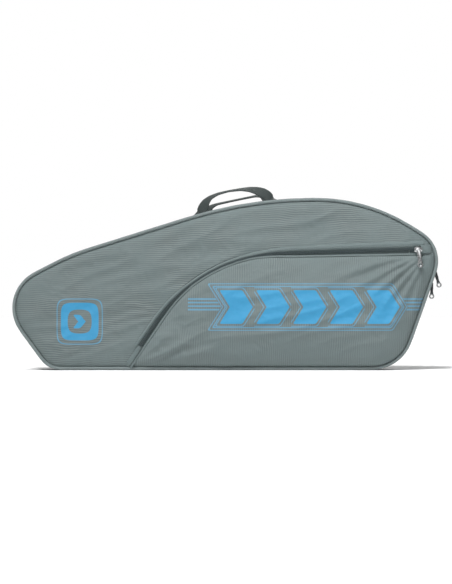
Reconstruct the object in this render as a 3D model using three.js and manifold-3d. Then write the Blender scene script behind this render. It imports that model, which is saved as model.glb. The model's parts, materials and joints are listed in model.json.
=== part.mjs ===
// A long racket bag that stands on its bottom gusset: a back shell, a front shell that folds
// forward about the bottom seam, a zipped front pocket, two hand loops and three zip sliders.
// Millimetres. +X runs along the bag, the front faces -Y, +Z is up, and the floor is z = 0.
import * as THREE from 'three';
import { ParametricGeometry } from 'three/addons/geometries/ParametricGeometry.js';
import { mergeVertices } from 'three/addons/utils/BufferGeometryUtils.js';
import Module from 'manifold-3d';

const wasm = await Module();
wasm.setup();

// ---- driving dimensions ----

const GAP = 0.3;
const HALF_DEPTH = 30;
const GUSSET_THICKNESS = 3;
const PIPE_RADIUS = 3.5;
const PIPE_SIDES = 8;
// The gusset lies below the crown of the piping, except along the floor, where it is level.
const GUSSET_INSET = 3.5;
const GUSSET_RISE = 10;

// The bag's outline in the XZ plane, anticlockwise: each corner, its fillet and the fillet's facets.
const OUTLINE = [
  { x: -312, z: 0, radius: 40, facets: 5 },
  { x: 308, z: 0, radius: 73, facets: 8 },
  { x: 385, z: 216.5, radius: 60, facets: 10 },
  { x: 247, z: 302, radius: 314, facets: 6 },
  { x: 40, z: 302, radius: 755, facets: 5 },
  { x: -271, z: 205, radius: 300, facets: 2 },
  { x: -410, z: 134, radius: 70, facets: 9 },
];
const CORNER_BOTTOM_LEFT = 0;
const CORNER_BOTTOM_RIGHT = 1;
const CORNER_TOP_RIGHT = 2;

// Panels: each is a shallow dome over its rim, in three layers.
const PANEL_CENTRE = { x: 0, z: 148 };
const PANEL_INSET = 2 * PIPE_RADIUS + GAP;
const PANEL_RIM_Y = HALF_DEPTH + 5;
const FRONT_BULGE = 6;
const BACK_BULGE = 9;
const DOME_POWER = 4;
const FABRIC = 1.2;
const FOAM = 3;
const LINING = 0.6;

// Zips: half widths are measured from the line where the two coils meet.
const END_TAB = 14;
const COIL_INNER = 0.15;
const COIL_OUTER = 2.6;
const COIL_THICKNESS = 1.4;
const TAPE_INNER = 0.8;
const TAPE_OUTER = 5;
const TAPE_THICKNESS = 0.8;
const TAPE_INSET = GUSSET_INSET + 1.6;
const COIL_FACE_INSET = TAPE_INSET - GAP - COIL_THICKNESS;
const SLIDER_LENGTH = 11;
const SLIDER_WIDTH = 8.4;
const SLIDER_PLATE = 1.5;
const SLIDER_CLEARANCE = 0.5;
const CROWN_HEIGHT = 3.2;
const CROWN_BAR = 0.8;

// The pocket zip runs up from the bottom seam, round one bend, and straight to the right seam.
const POCKET_PATH = [
  { x: -176, z: 3 },
  { x: -42.7, z: 199.4, radius: 260, facets: 12 },
  { x: 357, z: 211.4 },
];
const POCKET_Y = -41.3;
const POCKET_TAB_LENGTH = 46;
const POCKET_END_TAB_LENGTH = 16;
const POCKET_CENTRE = { x: 120, z: 75 };
const POCKET_FRONT_Y = -57;
const POCKET_SLIDER_X = 336;
const LIP_END_X = 322;
const LIP_CENTRE = { x: 20, z: 142 };
const WELT_START_X = 45;
const WELT_WIDTH = 5;

// Hand loops: height points are measured above the line through the sewn ends.
const WEBBING_WIDTH = 20;
const WEBBING = 3;
const LOOP_ROOT_WIDTH = 4.5;
const LOOP_ROOT_HEIGHT = 4.2;
const FRONT_LOOP = { left: -45, right: 79, y: -18, rise: 24 };
const REAR_LOOP = { left: -24, right: 71, y: 18, rise: 13 };
const LOOP_PROFILE = [
  [0, 0], [0.04, 0.42], [0.16, 0.7], [0.36, 0.94], [0.64, 1], [0.87, 0.94], [0.98, 0.5], [1, 0],
];
const LOOP_STEPS = 24;
const ANCHOR_LENGTH = 24;
const ANCHOR_THICKNESS = 1.5;

const UPPER_SLIDER_ANGLE = 0.3;
const LOWER_SLIDER_Z = 152;

// ---- materials ----

const finish = (color, roughness, metalness) =>
  new THREE.MeshStandardMaterial({ color, roughness, metalness });
const fabric = finish(0x7a8988, 0.85, 0);
const gussetFabric = finish(0x6d7b7a, 0.88, 0);
const pipingFabric = finish(0x8a9695, 0.8, 0);
const webbing = finish(0x4a5151, 0.9, 0);
const tapeFabric = finish(0x4e5b5c, 0.9, 0);
const coilNylon = finish(0x3f4a4c, 0.5, 0);
const foam = finish(0xd8d8d2, 0.95, 0);
const liningFoil = finish(0xb9bdc0, 0.4, 0.2);
const castSilver = finish(0xb8bbbc, 0.3, 1);
const gunmetal = finish(0x55585a, 0.35, 1);

// ---- outline and path arithmetic ----

// Fillets a run of corners. Each point carries the normal on the right-hand side of the run,
// which is the outside of an anticlockwise outline, and its corner's number.
function filletPath(corners, closed) {
  const points = [];
  const count = corners.length;
  corners.forEach((corner, index) => {
    const atEnd = !closed && (index === 0 || index === count - 1);
    const from = corners[(index + count - 1) % count];
    const to = corners[(index + 1) % count];
    if (atEnd) {
      const a = index === 0 ? corner : from;
      const b = index === 0 ? to : corner;
      const length = Math.hypot(b.x - a.x, b.z - a.z);
      points.push({ x: corner.x, z: corner.z, nx: (b.z - a.z) / length, nz: (a.x - b.x) / length, index });
      return;
    }
    const inAngle = Math.atan2(corner.z - from.z, corner.x - from.x);
    const outAngle = Math.atan2(to.z - corner.z, to.x - corner.x);
    const turn = Math.atan2(Math.sin(outAngle - inAngle), Math.cos(outAngle - inAngle));
    const side = Math.sign(turn);
    const reach = corner.radius * Math.tan(Math.abs(turn) / 2);
    const startX = corner.x - reach * Math.cos(inAngle);
    const startZ = corner.z - reach * Math.sin(inAngle);
    const centreX = startX - side * corner.radius * Math.sin(inAngle);
    const centreZ = startZ + side * corner.radius * Math.cos(inAngle);
    for (let step = 0; step <= corner.facets; step += 1) {
      const angle = inAngle + (turn * step) / corner.facets;
      const nx = Math.sin(angle);
      const nz = -Math.cos(angle);
      points.push({
        x: centreX + side * corner.radius * nx,
        z: centreZ + side * corner.radius * nz,
        nx,
        nz,
        index,
        centreX,
        centreZ,
      });
    }
  });
  return points;
}

function withStations(points) {
  let station = 0;
  return points.map((point, index) => {
    if (index > 0) {
      station += Math.hypot(point.x - points[index - 1].x, point.z - points[index - 1].z);
    }
    return { ...point, station };
  });
}

const outline = filletPath(OUTLINE, true);

// The outline as one run that starts and ends in the middle of the bottom.
const bottomMiddle = { x: 0, z: 0, nx: 0, nz: -1, index: -1 };
const firstRight = outline.findIndex((point) => point.index === CORNER_BOTTOM_RIGHT);
const rimRun = withStations([
  bottomMiddle,
  ...outline.slice(firstRight),
  ...outline.slice(0, firstRight),
  bottomMiddle,
]);
const rimLength = rimRun[rimRun.length - 1].station;
const pocketRun = withStations(filletPath(POCKET_PATH, false));
const pocketLength = pocketRun[pocketRun.length - 1].station;

function pointAt(run, station) {
  const next = Math.max(1, run.findIndex((point) => point.station >= station - 1e-6));
  const a = run[next - 1];
  const b = run[next];
  const t = (station - a.station) / (b.station - a.station);
  const nx = a.nx + (b.nx - a.nx) * t;
  const nz = a.nz + (b.nz - a.nz) * t;
  const length = Math.hypot(nx, nz);
  return { x: a.x + (b.x - a.x) * t, z: a.z + (b.z - a.z) * t, nx: nx / length, nz: nz / length, station };
}

function stretch(run, from, to) {
  const inner = run.filter((point) => point.station > from + 0.5 && point.station < to - 0.5);
  return [pointAt(run, from), ...inner, pointAt(run, to)];
}

const inset = (point, distance) => ({
  x: point.x - point.nx * distance,
  z: point.z - point.nz * distance,
});

// The station on the upper edge of the outline at a given x.
function topStation(x) {
  const next = rimRun.findIndex((point, index) => index > 0 && point.nz > 0.5 && point.x <= x);
  const a = rimRun[next - 1];
  const b = rimRun[next];
  return a.station + ((x - a.x) / (b.x - a.x)) * (b.station - a.station);
}

// The station on the pocket zip's straight stretch at a given x.
function pocketStation(x) {
  const end = pocketRun[pocketRun.length - 1];
  const start = pocketRun[pocketRun.length - 2];
  return start.station + ((x - start.x) / (end.x - start.x)) * (end.station - start.station);
}

const cornerPoints = (corner) => rimRun.filter((point) => point.index === corner);

// ---- solids ----

function toManifold(geometry) {
  const bare = geometry.clone();
  bare.deleteAttribute('normal');
  bare.deleteAttribute('uv');
  const merged = mergeVertices(bare, 1e-4);
  return new wasm.Manifold(new wasm.Mesh({
    numProp: 3,
    vertProperties: new Float32Array(merged.attributes.position.array),
    triVerts: new Uint32Array(merged.index.array),
  }));
}

function fromManifold(solid) {
  const mesh = solid.getMesh();
  const geometry = new THREE.BufferGeometry();
  geometry.setAttribute('position', new THREE.BufferAttribute(new Float32Array(mesh.vertProperties), 3));
  geometry.setIndex(new THREE.BufferAttribute(new Uint32Array(mesh.triVerts), 1));
  return geometry;
}

const join = (...geometries) =>
  fromManifold(geometries.map(toManifold).reduce((whole, piece) => whole.add(piece)));

function signedVolume(geometry) {
  const position = geometry.attributes.position;
  const corner = [new THREE.Vector3(), new THREE.Vector3(), new THREE.Vector3()];
  let volume = 0;
  for (let i = 0; i < geometry.index.count; i += 3) {
    corner.forEach((vector, k) => vector.fromBufferAttribute(position, geometry.index.getX(i + k)));
    volume += corner[0].dot(corner[1].clone().cross(corner[2])) / 6;
  }
  return volume;
}

// A closed body through a row of rings with equal numbers of points. Each end is closed on the
// middle of its last ring.
function loft(rings) {
  const middle = (ring) =>
    ring.reduce((sum, point) => sum.add(point), new THREE.Vector3()).divideScalar(ring.length);
  const first = middle(rings[0]);
  const last = middle(rings[rings.length - 1]);
  const count = rings[0].length;
  const rows = [rings[0].map(() => first), ...rings, rings[0].map(() => last)];
  const surface = (u, v, target) => {
    const row = rows[Math.round(v * (rows.length - 1))];
    target.copy(row[Math.round(u * count) % count]);
  };
  const geometry = new ParametricGeometry(surface, count, rows.length - 1);
  geometry.deleteAttribute('normal');
  geometry.deleteAttribute('uv');
  const closed = mergeVertices(geometry, 1e-4);
  const index = Array.from(closed.index.array);
  const kept = [];
  for (let i = 0; i < index.length; i += 3) {
    const [a, b, c] = index.slice(i, i + 3);
    if (a !== b && b !== c && c !== a) kept.push(a, b, c);
  }
  closed.setIndex(kept);
  if (signedVolume(closed) < 0) closed.setIndex(kept.reverse());
  return closed;
}

// A strip of rectangular section along a run: between two insets, and between two depths.
function strip(points, insetA, insetB, yA, yB) {
  return loft(points.map((point) => {
    const a = inset(point, insetA);
    const b = inset(point, insetB);
    return [
      new THREE.Vector3(a.x, yA, a.z),
      new THREE.Vector3(a.x, yB, a.z),
      new THREE.Vector3(b.x, yB, b.z),
      new THREE.Vector3(b.x, yA, b.z),
    ];
  }));
}

const rimStrip = (from, to, insetA, insetB, yA, yB) =>
  strip(stretch(rimRun, from, to), insetA, insetB, yA, yB);

// A strip of the pocket zip, between two distances above the zip's line. The run goes up and to
// the right, so its right-hand normals point down into the pocket.
const pocketStrip = (from, to, aboveA, aboveB, yA, yB) =>
  strip(stretch(pocketRun, from, to), aboveA, aboveB, yA, yB);

function piping(y, sides) {
  const runOut = stretch(rimRun, GAP, rimLength - GAP);
  return loft(runOut.map((point) => {
    const centre = inset(point, PIPE_RADIUS);
    return Array.from({ length: sides }, (_, side) => {
      const angle = (2 * Math.PI * (side + 0.5)) / sides;
      const out = PIPE_RADIUS * Math.cos(angle) / Math.cos(Math.PI / sides);
      const deep = PIPE_RADIUS * Math.sin(angle) / Math.cos(Math.PI / sides);
      return new THREE.Vector3(centre.x + point.nx * out, y + deep, centre.z + point.nz * out);
    });
  }));
}

// A domed sheet over a closed rim of points { x, y, z }: its outer face falls from the centre to
// the rim, and its inner face is the same one moved along Y.
function domedSheet(rim, centre, thickness, power, shares) {
  const ring = (share, shift) => rim.map((point) => new THREE.Vector3(
    centre.x + (point.x - centre.x) * share,
    centre.y + (point.y - centre.y) * share ** power + shift,
    centre.z + (point.z - centre.z) * share,
  ));
  const outer = shares.map((share) => ring(share, 0));
  const inner = shares.map((share) => ring(share, thickness)).reverse();
  return loft([...outer, ...inner]);
}

const PANEL_SHARES = [0.45, 0.75, 0.91, 1];

function panelLayer(side, bulge, start, thickness) {
  const rimY = side * (PANEL_RIM_Y - start);
  const rim = outline.map((point) => ({ ...inset(point, PANEL_INSET), y: rimY }));
  const centre = { ...PANEL_CENTRE, y: rimY + side * bulge };
  return domedSheet(rim, centre, -side * thickness, DOME_POWER, PANEL_SHARES);
}

// ---- assembly helpers ----

const bag = new THREE.Group();

function piece(name, geometry, material, parent = bag) {
  const mesh = new THREE.Mesh(geometry, material);
  mesh.name = name;
  parent.add(mesh);
  return mesh;
}

// ---- where the zips begin and end ----

const rightArc = cornerPoints(CORNER_BOTTOM_RIGHT);
const leftArc = cornerPoints(CORNER_BOTTOM_LEFT);
const gussetRight = rightArc[Math.round(rightArc.length / 2)].station;
const gussetLeft = leftArc[0].station;
const zipFrom = gussetRight + END_TAB + GAP;
const zipTo = gussetLeft - END_TAB - GAP;

// ---- shells ----

function makeShell(side, prefix, bulge) {
  const out = side * HALF_DEPTH;
  const fabricEdge = side * (TAPE_OUTER + GAP);
  const foamStart = FABRIC + GAP;
  const liningStart = foamStart + FOAM + GAP;
  piece(`${prefix}_panel`, panelLayer(side, bulge, 0, FABRIC), fabric);
  piece(`${prefix}_foam`, panelLayer(side, bulge, foamStart, FOAM), foam);
  piece(`${prefix}_lining`, panelLayer(side, bulge, liningStart, LINING), liningFoil);
  piece(
    `${prefix}_gusset`,
    rimStrip(gussetRight + GAP, gussetLeft - GAP, GUSSET_INSET, GUSSET_INSET + GUSSET_THICKNESS, fabricEdge,
      out),
    gussetFabric,
  );
  piece(`${prefix}_piping`, piping(side * (HALF_DEPTH + GAP + PIPE_RADIUS), PIPE_SIDES), pipingFabric);
  piece(
    `${prefix}_zip_tape`,
    rimStrip(zipFrom, zipTo, TAPE_INSET, TAPE_INSET + TAPE_THICKNESS, side * TAPE_INNER, side * TAPE_OUTER),
    tapeFabric,
  );
  piece(
    `${prefix}_zip_coil`,
    rimStrip(zipFrom, zipTo, COIL_FACE_INSET, TAPE_INSET - GAP, side * COIL_INNER, side * COIL_OUTER),
    coilNylon,
  );
}

makeShell(-1, 'front', FRONT_BULGE);
makeShell(1, 'back', BACK_BULGE);

// The bottom gusset lies flat on the floor and draws in to meet the upper gussets at its ends.
const bottomRun = [
  ...stretch(rimRun, gussetLeft, rimLength).slice(0, -1),
  ...stretch(rimRun, 0, gussetRight).slice(1),
];
const levelled = bottomRun.map((point) => ({
  ...point,
  ...inset(point, GUSSET_INSET * Math.min(1, point.z / GUSSET_RISE)),
}));
piece('bottom_gusset', strip(levelled, 0, GUSSET_THICKNESS, -HALF_DEPTH, HALF_DEPTH), gussetFabric);

const liningLevel = GUSSET_THICKNESS + GAP;
const BOTTOM_LINING_HALF = 28;
piece(
  'bottom_lining',
  new THREE.BoxGeometry(520, 2 * BOTTOM_LINING_HALF, LINING).translate(-18, 0, liningLevel + LINING / 2),
  liningFoil,
);

// Each end of the main zip is covered by a short tab that belongs to the bottom gusset.
const tabHalf = TAPE_OUTER;
piece(
  'zip_end_tab_right',
  rimStrip(gussetRight + GAP, gussetRight + END_TAB, GUSSET_INSET, TAPE_INSET, 0, tabHalf),
  gussetFabric,
);
piece(
  'zip_end_tab_left',
  rimStrip(gussetLeft - END_TAB, gussetLeft - GAP, GUSSET_INSET, TAPE_INSET, 0, tabHalf),
  gussetFabric,
);

// ---- front pocket ----

const pocketTo = pocketLength - POCKET_END_TAB_LENGTH;
const tapeFront = POCKET_Y - TAPE_THICKNESS;
const coilBack = tapeFront - GAP;
const coilFront = coilBack - COIL_THICKNESS;
const zipStart = POCKET_TAB_LENGTH + GAP;
const zipEnd = pocketTo - GAP;

function pocketZipHalf(name, from, to, up) {
  piece(
    `pocket_zip_tape_${name}`,
    pocketStrip(from, to, up * TAPE_INNER, up * TAPE_OUTER, POCKET_Y, tapeFront),
    tapeFabric,
  );
  piece(
    `pocket_zip_coil_${name}`,
    pocketStrip(from, to, up * COIL_INNER, up * COIL_OUTER, coilBack, coilFront),
    coilNylon,
  );
}

// The lower half is cut where the lip ends: the short rest, under the parked slider, stays put.
const foldFromStation = POCKET_TAB_LENGTH + 2;
const foldToStation = pocketStation(LIP_END_X);
pocketZipHalf('upper', zipStart, zipEnd, 1);
pocketZipHalf('lower', foldFromStation + 0.5, foldToStation - GAP, -1);
pocketZipHalf('lower_end', foldToStation, zipEnd, -1);

piece(
  'pocket_zip_welt',
  pocketStrip(pocketStation(WELT_START_X), zipEnd, TAPE_OUTER + GAP, TAPE_OUTER + GAP + WELT_WIDTH,
    POCKET_Y, POCKET_Y - FABRIC),
  fabric,
);
piece(
  'pocket_tab_left',
  pocketStrip(7, POCKET_TAB_LENGTH, -TAPE_OUTER, TAPE_OUTER, POCKET_Y, POCKET_Y - FABRIC),
  pipingFabric,
);
piece(
  'pocket_tab_right',
  pocketStrip(pocketTo, pocketLength - 2, -TAPE_OUTER, 2 * TAPE_OUTER, POCKET_Y, POCKET_Y - FABRIC),
  pipingFabric,
);

// The pocket's cloth is in two parts that meet along a straight fold: the lip above it swings
// out when the zip is open, and the body below it stays.
const lipEdge = TAPE_OUTER + GAP;
const foldFrom = inset(pointAt(pocketRun, foldFromStation), -lipEdge);
const foldTo = inset(pointAt(pocketRun, foldToStation), -lipEdge);
const foldLength = Math.hypot(foldTo.x - foldFrom.x, foldTo.z - foldFrom.z);
const foldUp = { x: -(foldTo.z - foldFrom.z) / foldLength, z: (foldTo.x - foldFrom.x) / foldLength };
const clothRimY = POCKET_Y - FABRIC;
const FOLD_BULGE = 1;
const FOLD_POINTS = 12;

// A point of the fold, moved up or down from it.
function foldPoint(share, up) {
  return {
    x: foldFrom.x + (foldTo.x - foldFrom.x) * share + foldUp.x * up,
    y: clothRimY - FOLD_BULGE * Math.sin(Math.PI * share),
    z: foldFrom.z + (foldTo.z - foldFrom.z) * share + foldUp.z * up,
  };
}

const lipRim = [
  ...Array.from({ length: FOLD_POINTS + 1 }, (_, i) => foldPoint(i / FOLD_POINTS, GAP / 2)),
  ...stretch(pocketRun, foldFromStation + 1, foldToStation - 12).reverse()
    .map((point) => ({ ...inset(point, -lipEdge), y: clothRimY })),
];
piece(
  'pocket_lip',
  domedSheet(lipRim, { ...LIP_CENTRE, y: clothRimY - FOLD_BULGE }, FABRIC, 2, [0.4, 0.75, 1]),
  fabric,
);

const seamEdge = PANEL_INSET + GAP;
const pocketRightZ = inset(pointAt(pocketRun, pocketLength - 2), -lipEdge).z;
const bottomRight = [...rimRun.slice(0, rimRun.length / 2)]
  .filter((point) => point.z < pocketRightZ - 8 && point.x > 0)
  .map((point) => ({ ...inset(point, seamEdge), y: -PANEL_RIM_Y - GAP - FABRIC }));
const pocketCorner = { ...inset(pointAt(pocketRun, 7), -lipEdge), y: -PANEL_RIM_Y - GAP - FABRIC };
const bodyRim = [
  { ...pocketCorner, z: seamEdge },
  ...bottomRight,
  { ...inset(pointAt(pocketRun, pocketLength - 6), -lipEdge), y: clothRimY },
  { ...inset(pointAt(pocketRun, foldToStation + 8), -lipEdge), y: clothRimY },
  ...Array.from({ length: FOLD_POINTS + 1 }, (_, i) => foldPoint(1 - i / FOLD_POINTS, -GAP / 2)),
];
piece(
  'pocket_body',
  domedSheet(bodyRim, { ...POCKET_CENTRE, y: POCKET_FRONT_Y }, FABRIC, 3, [0.3, 0.6, 0.82, 1]),
  fabric,
);

// ---- hand loops ----

const FORWARD = new THREE.Vector3(0, -1, 0);

function makeAnchors(prefix, loop) {
  const edge = WEBBING_WIDTH / 2;
  const anchorInset = GUSSET_INSET - GAP;
  [['left', loop.left, -1], ['right', loop.right, 1]].forEach(([side, x, outwards]) => {
    const near = topStation(x);
    const far = topStation(x + outwards * ANCHOR_LENGTH);
    piece(
      `${prefix}_loop_anchor_${side}`,
      rimStrip(Math.min(near, far), Math.max(near, far), anchorInset, anchorInset - ANCHOR_THICKNESS,
        loop.y - edge, loop.y + edge),
      webbing,
    );
  });
}

function makeLoop(name, loop) {
  const root = (x) => inset(pointAt(rimRun, topStation(x)), GUSSET_INSET - LOOP_ROOT_HEIGHT);
  const a = root(loop.left + 2);
  const b = root(loop.right - 2);
  const span = Math.hypot(b.x - a.x, b.z - a.z);
  const curve = new THREE.CatmullRomCurve3(
    LOOP_PROFILE.map(([along, up]) => new THREE.Vector3(along * span, up * loop.rise, 0)),
    false,
    'centripetal',
  );
  const rings = Array.from({ length: LOOP_STEPS + 1 }, (_, i) => {
    const point = curve.getPointAt(i / LOOP_STEPS);
    const tangent = curve.getTangentAt(i / LOOP_STEPS);
    const spread = Math.min(1, point.y / (0.5 * loop.rise));
    const half = (LOOP_ROOT_WIDTH + (WEBBING_WIDTH - LOOP_ROOT_WIDTH) * spread) / 2;
    const across = new THREE.Vector3(-tangent.y, tangent.x, 0).multiplyScalar(WEBBING / 2);
    return [[-1, -1], [1, -1], [1, 1], [-1, 1]].map(([side, face]) =>
      point.clone().addScaledVector(across, face).add(new THREE.Vector3(0, 0, side * half)));
  });
  const mesh = piece(name, loft(rings), webbing);
  const along = new THREE.Vector3(b.x - a.x, 0, b.z - a.z).normalize();
  const up = new THREE.Vector3(-along.z, 0, along.x);
  mesh.setRotationFromMatrix(new THREE.Matrix4().makeBasis(along, up, FORWARD));
  mesh.position.set(a.x, loop.y, a.z);
}

makeAnchors('front', FRONT_LOOP);
makeAnchors('rear', REAR_LOOP);
makeLoop('front_loop', FRONT_LOOP);
makeLoop('rear_loop', REAR_LOOP);

// ---- zip sliders ----

// A slider in its own frame: +X along the zip, +Y across it, +Z out of the bag, z = 0 on the
// outer face of the coil. flanges lists the sides, -1 and 1, that reach down beside the coil.
function sliderBody(flanges, barAlongZip) {
  const half = SLIDER_LENGTH / 2;
  const wide = SLIDER_WIDTH / 2;
  const nose = 0.68 * wide;
  const shape = new THREE.Shape([
    new THREE.Vector2(-half, -nose),
    new THREE.Vector2(-half + 2.5, -wide),
    new THREE.Vector2(half - 4, -wide),
    new THREE.Vector2(half, -nose),
    new THREE.Vector2(half, nose),
    new THREE.Vector2(half - 4, wide),
    new THREE.Vector2(-half + 2.5, wide),
    new THREE.Vector2(-half, nose),
  ]);
  const plate = new THREE.ExtrudeGeometry(shape, { depth: SLIDER_PLATE, bevelEnabled: false })
    .translate(0, 0, SLIDER_CLEARANCE);
  const flangeDrop = SLIDER_CLEARANCE + COIL_THICKNESS;
  const sides = flanges.map((side) =>
    new THREE.BoxGeometry(SLIDER_LENGTH - 7, 0.9, flangeDrop + 0.2)
      .translate(0, side * (wide - 0.45), SLIDER_CLEARANCE - flangeDrop / 2 + 0.1));
  const top = SLIDER_CLEARANCE + SLIDER_PLATE;
  const bar = new THREE.CylinderGeometry(CROWN_BAR, CROWN_BAR, 6.4, 10);
  const postHeight = CROWN_HEIGHT + CROWN_BAR;
  const posts = [-1, 1].map((side) =>
    new THREE.BoxGeometry(1.6, 1.2, postHeight)
      .translate(0, side * 2.6, postHeight / 2 - CROWN_HEIGHT - 0.2));
  const crown = join(bar, ...posts);
  if (barAlongZip) crown.rotateZ(Math.PI / 2);
  crown.translate(0, 0, top + CROWN_HEIGHT);
  return join(plate, ...sides, crown);
}

const CROWN_Z = SLIDER_CLEARANCE + SLIDER_PLATE + CROWN_HEIGHT;

// A pull in its own frame: its eye is at the origin and it hangs along -Y, facing Z.
const PULL = { neck: 4.2, eye: 2.7, ring: 4.2, hole: 2.6, thickness: 1.6 };
const MAIN_PULL_LENGTH = 26;
const POCKET_PULL_LENGTH = 30;

function pullPlate(length, withEye) {
  const shape = new THREE.Shape();
  const foot = -(length - PULL.ring);
  const lean = 0.45;
  shape.moveTo(PULL.eye * Math.cos(lean), -PULL.eye * Math.sin(lean));
  shape.absarc(0, 0, PULL.eye, -lean, Math.PI + lean, false);
  shape.lineTo(-PULL.neck / 2, foot / 2);
  shape.absarc(0, foot, PULL.ring, Math.PI - lean, 2 * Math.PI + lean, false);
  shape.lineTo(PULL.neck / 2, foot / 2);
  const holes = [[foot, PULL.hole]];
  if (withEye) holes.push([0, CROWN_BAR + 0.5]);
  holes.forEach(([y, radius]) => {
    shape.holes.push(new THREE.Path().absarc(0, y, radius, 0, 2 * Math.PI, true));
  });
  return new THREE.ExtrudeGeometry(shape, { depth: PULL.thickness, bevelEnabled: false, curveSegments: 10 })
    .translate(0, 0, -PULL.thickness / 2);
}

// Main sliders sit on the edge of the bag, and their pulls hang in the XZ plane.
const topRight = cornerPoints(CORNER_TOP_RIGHT)[0];
const arcCentre = { x: topRight.centreX, z: topRight.centreZ };

function placeMainSlider(prefix, point, pullTilt) {
  const across = new THREE.Vector3(0, 1, 0);
  const outwards = new THREE.Vector3(point.nx, 0, point.nz);
  const seat = inset(point, COIL_FACE_INSET);
  const body = piece(`${prefix}_slider`, sliderBody([1], false), gunmetal);
  const down = across.clone().cross(outwards);
  body.setRotationFromMatrix(new THREE.Matrix4().makeBasis(down, across, outwards));
  body.position.set(seat.x, 0, seat.z);
  const eye = inset(point, COIL_FACE_INSET - CROWN_Z);
  const pull = piece(`${prefix}_pull`, pullPlate(MAIN_PULL_LENGTH, true), gunmetal);
  pull.rotation.set(Math.PI / 2, pullTilt, 0, 'YXZ');
  pull.position.set(eye.x, 0, eye.z);
}

const arcStart = Math.atan2(topRight.z - arcCentre.z, topRight.x - arcCentre.x);
const upperAngle = arcStart + THREE.MathUtils.degToRad(UPPER_SLIDER_ANGLE);
const arcRadius = OUTLINE[CORNER_TOP_RIGHT].radius;
const upperPoint = {
  x: arcCentre.x + arcRadius * Math.cos(upperAngle),
  z: arcCentre.z + arcRadius * Math.sin(upperAngle),
  nx: Math.cos(upperAngle),
  nz: Math.sin(upperAngle),
};
const edgeFoot = rightArc[rightArc.length - 1];
const edgeShare = (LOWER_SLIDER_Z - edgeFoot.z) / (topRight.z - edgeFoot.z);
const lowerPoint = {
  ...topRight,
  x: edgeFoot.x + (topRight.x - edgeFoot.x) * edgeShare,
  z: LOWER_SLIDER_Z,
};
placeMainSlider('upper', upperPoint, THREE.MathUtils.degToRad(-11));
placeMainSlider('lower', lowerPoint, 0);

// The pocket slider faces forward. Its pull has a sleeve round a bar that lies along the zip.
const pocketSeat = pointAt(pocketRun, pocketStation(POCKET_SLIDER_X));
const pocketAlong = new THREE.Vector3(-pocketSeat.nz, 0, pocketSeat.nx);
const pocketAcross = new THREE.Vector3(-pocketSeat.nx, 0, -pocketSeat.nz);
const pocketBasis = new THREE.Matrix4().makeBasis(pocketAlong, pocketAcross, FORWARD);

const pocketSlider = piece('pocket_slider', sliderBody([1], true), castSilver);
pocketSlider.setRotationFromMatrix(pocketBasis);
pocketSlider.position.set(pocketSeat.x, coilFront, pocketSeat.z);

// It rests on the pocket's cloth, so it leans out a little.
const EYE_HALF_WIDTH = 1.85;
const CUT = 4;
const PULL_REST_LEAN = 10;

function pocketPullShape() {
  const sleeve = new THREE.LatheGeometry([
    new THREE.Vector2(CROWN_BAR + 0.35, -1.7),
    new THREE.Vector2(PULL.eye - 0.6, -1.7),
    new THREE.Vector2(PULL.eye - 0.6, 1.7),
    new THREE.Vector2(CROWN_BAR + 0.35, 1.7),
    new THREE.Vector2(CROWN_BAR + 0.35, -1.7),
  ], 14).rotateZ(Math.PI / 2);
  const bore = new THREE.CylinderGeometry(CROWN_BAR + 0.35, CROWN_BAR + 0.35, 8, 14).rotateZ(Math.PI / 2);
  const plate = pullPlate(POCKET_PULL_LENGTH, false).rotateZ(0.14);
  // Beside the eye the plate is cut back, so that it swings between the posts of the crown.
  const blank = [-1, 1].reduce(
    (whole, side) => whole.subtract(toManifold(new THREE.BoxGeometry(CUT, 2 * CUT, CUT)
      .translate(side * (EYE_HALF_WIDTH + CUT / 2), 0, 0))),
    toManifold(plate).subtract(toManifold(bore)),
  );
  return fromManifold(blank.add(toManifold(sleeve))).rotateX(-THREE.MathUtils.degToRad(PULL_REST_LEAN));
}
const pocketPull = piece('pocket_pull', pocketPullShape(), castSilver);
pocketPull.setRotationFromMatrix(pocketBasis);
pocketPull.position.set(pocketSeat.x, coilFront - CROWN_Z, pocketSeat.z);

export default bag;
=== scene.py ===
"""Looks of a racket bag around its CAD frame. Metres: +X to the right, -Y to the front, +Z up."""

from contextlib import contextmanager
import json
import math

import bmesh
import bpy
import numpy as np
from mathutils import Matrix, Vector, kdtree, noise
from mathutils.geometry import convex_hull_2d, delaunay_2d_cdt


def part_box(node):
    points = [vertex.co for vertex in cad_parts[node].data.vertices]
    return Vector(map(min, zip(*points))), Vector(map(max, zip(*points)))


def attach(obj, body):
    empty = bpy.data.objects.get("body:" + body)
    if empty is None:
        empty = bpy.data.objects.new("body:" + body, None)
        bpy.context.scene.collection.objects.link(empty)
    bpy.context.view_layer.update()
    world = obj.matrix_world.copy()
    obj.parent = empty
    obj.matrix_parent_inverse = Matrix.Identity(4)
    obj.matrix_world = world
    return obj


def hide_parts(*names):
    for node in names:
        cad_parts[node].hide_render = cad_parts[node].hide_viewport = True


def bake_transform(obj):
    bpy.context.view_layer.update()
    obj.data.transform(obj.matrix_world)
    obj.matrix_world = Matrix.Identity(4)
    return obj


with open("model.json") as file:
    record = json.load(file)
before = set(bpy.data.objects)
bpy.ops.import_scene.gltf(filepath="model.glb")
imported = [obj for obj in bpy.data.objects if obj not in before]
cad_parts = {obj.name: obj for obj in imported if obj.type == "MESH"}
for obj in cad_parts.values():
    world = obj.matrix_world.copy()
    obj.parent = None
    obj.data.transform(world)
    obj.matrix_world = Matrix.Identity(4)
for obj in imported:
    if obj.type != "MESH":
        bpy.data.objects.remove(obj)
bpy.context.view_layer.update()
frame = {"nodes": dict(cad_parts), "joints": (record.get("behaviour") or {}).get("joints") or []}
MM = 0.001
FRONT = -1
BACK = 1
SIDES = ((FRONT, "front"), (BACK, "back"))
# The way out of the bag on each side.
OUT = {FRONT: np.array([0, -1, 0]), BACK: np.array([0, 1, 0])}

# ---- driving sizes, in metres ----

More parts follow.
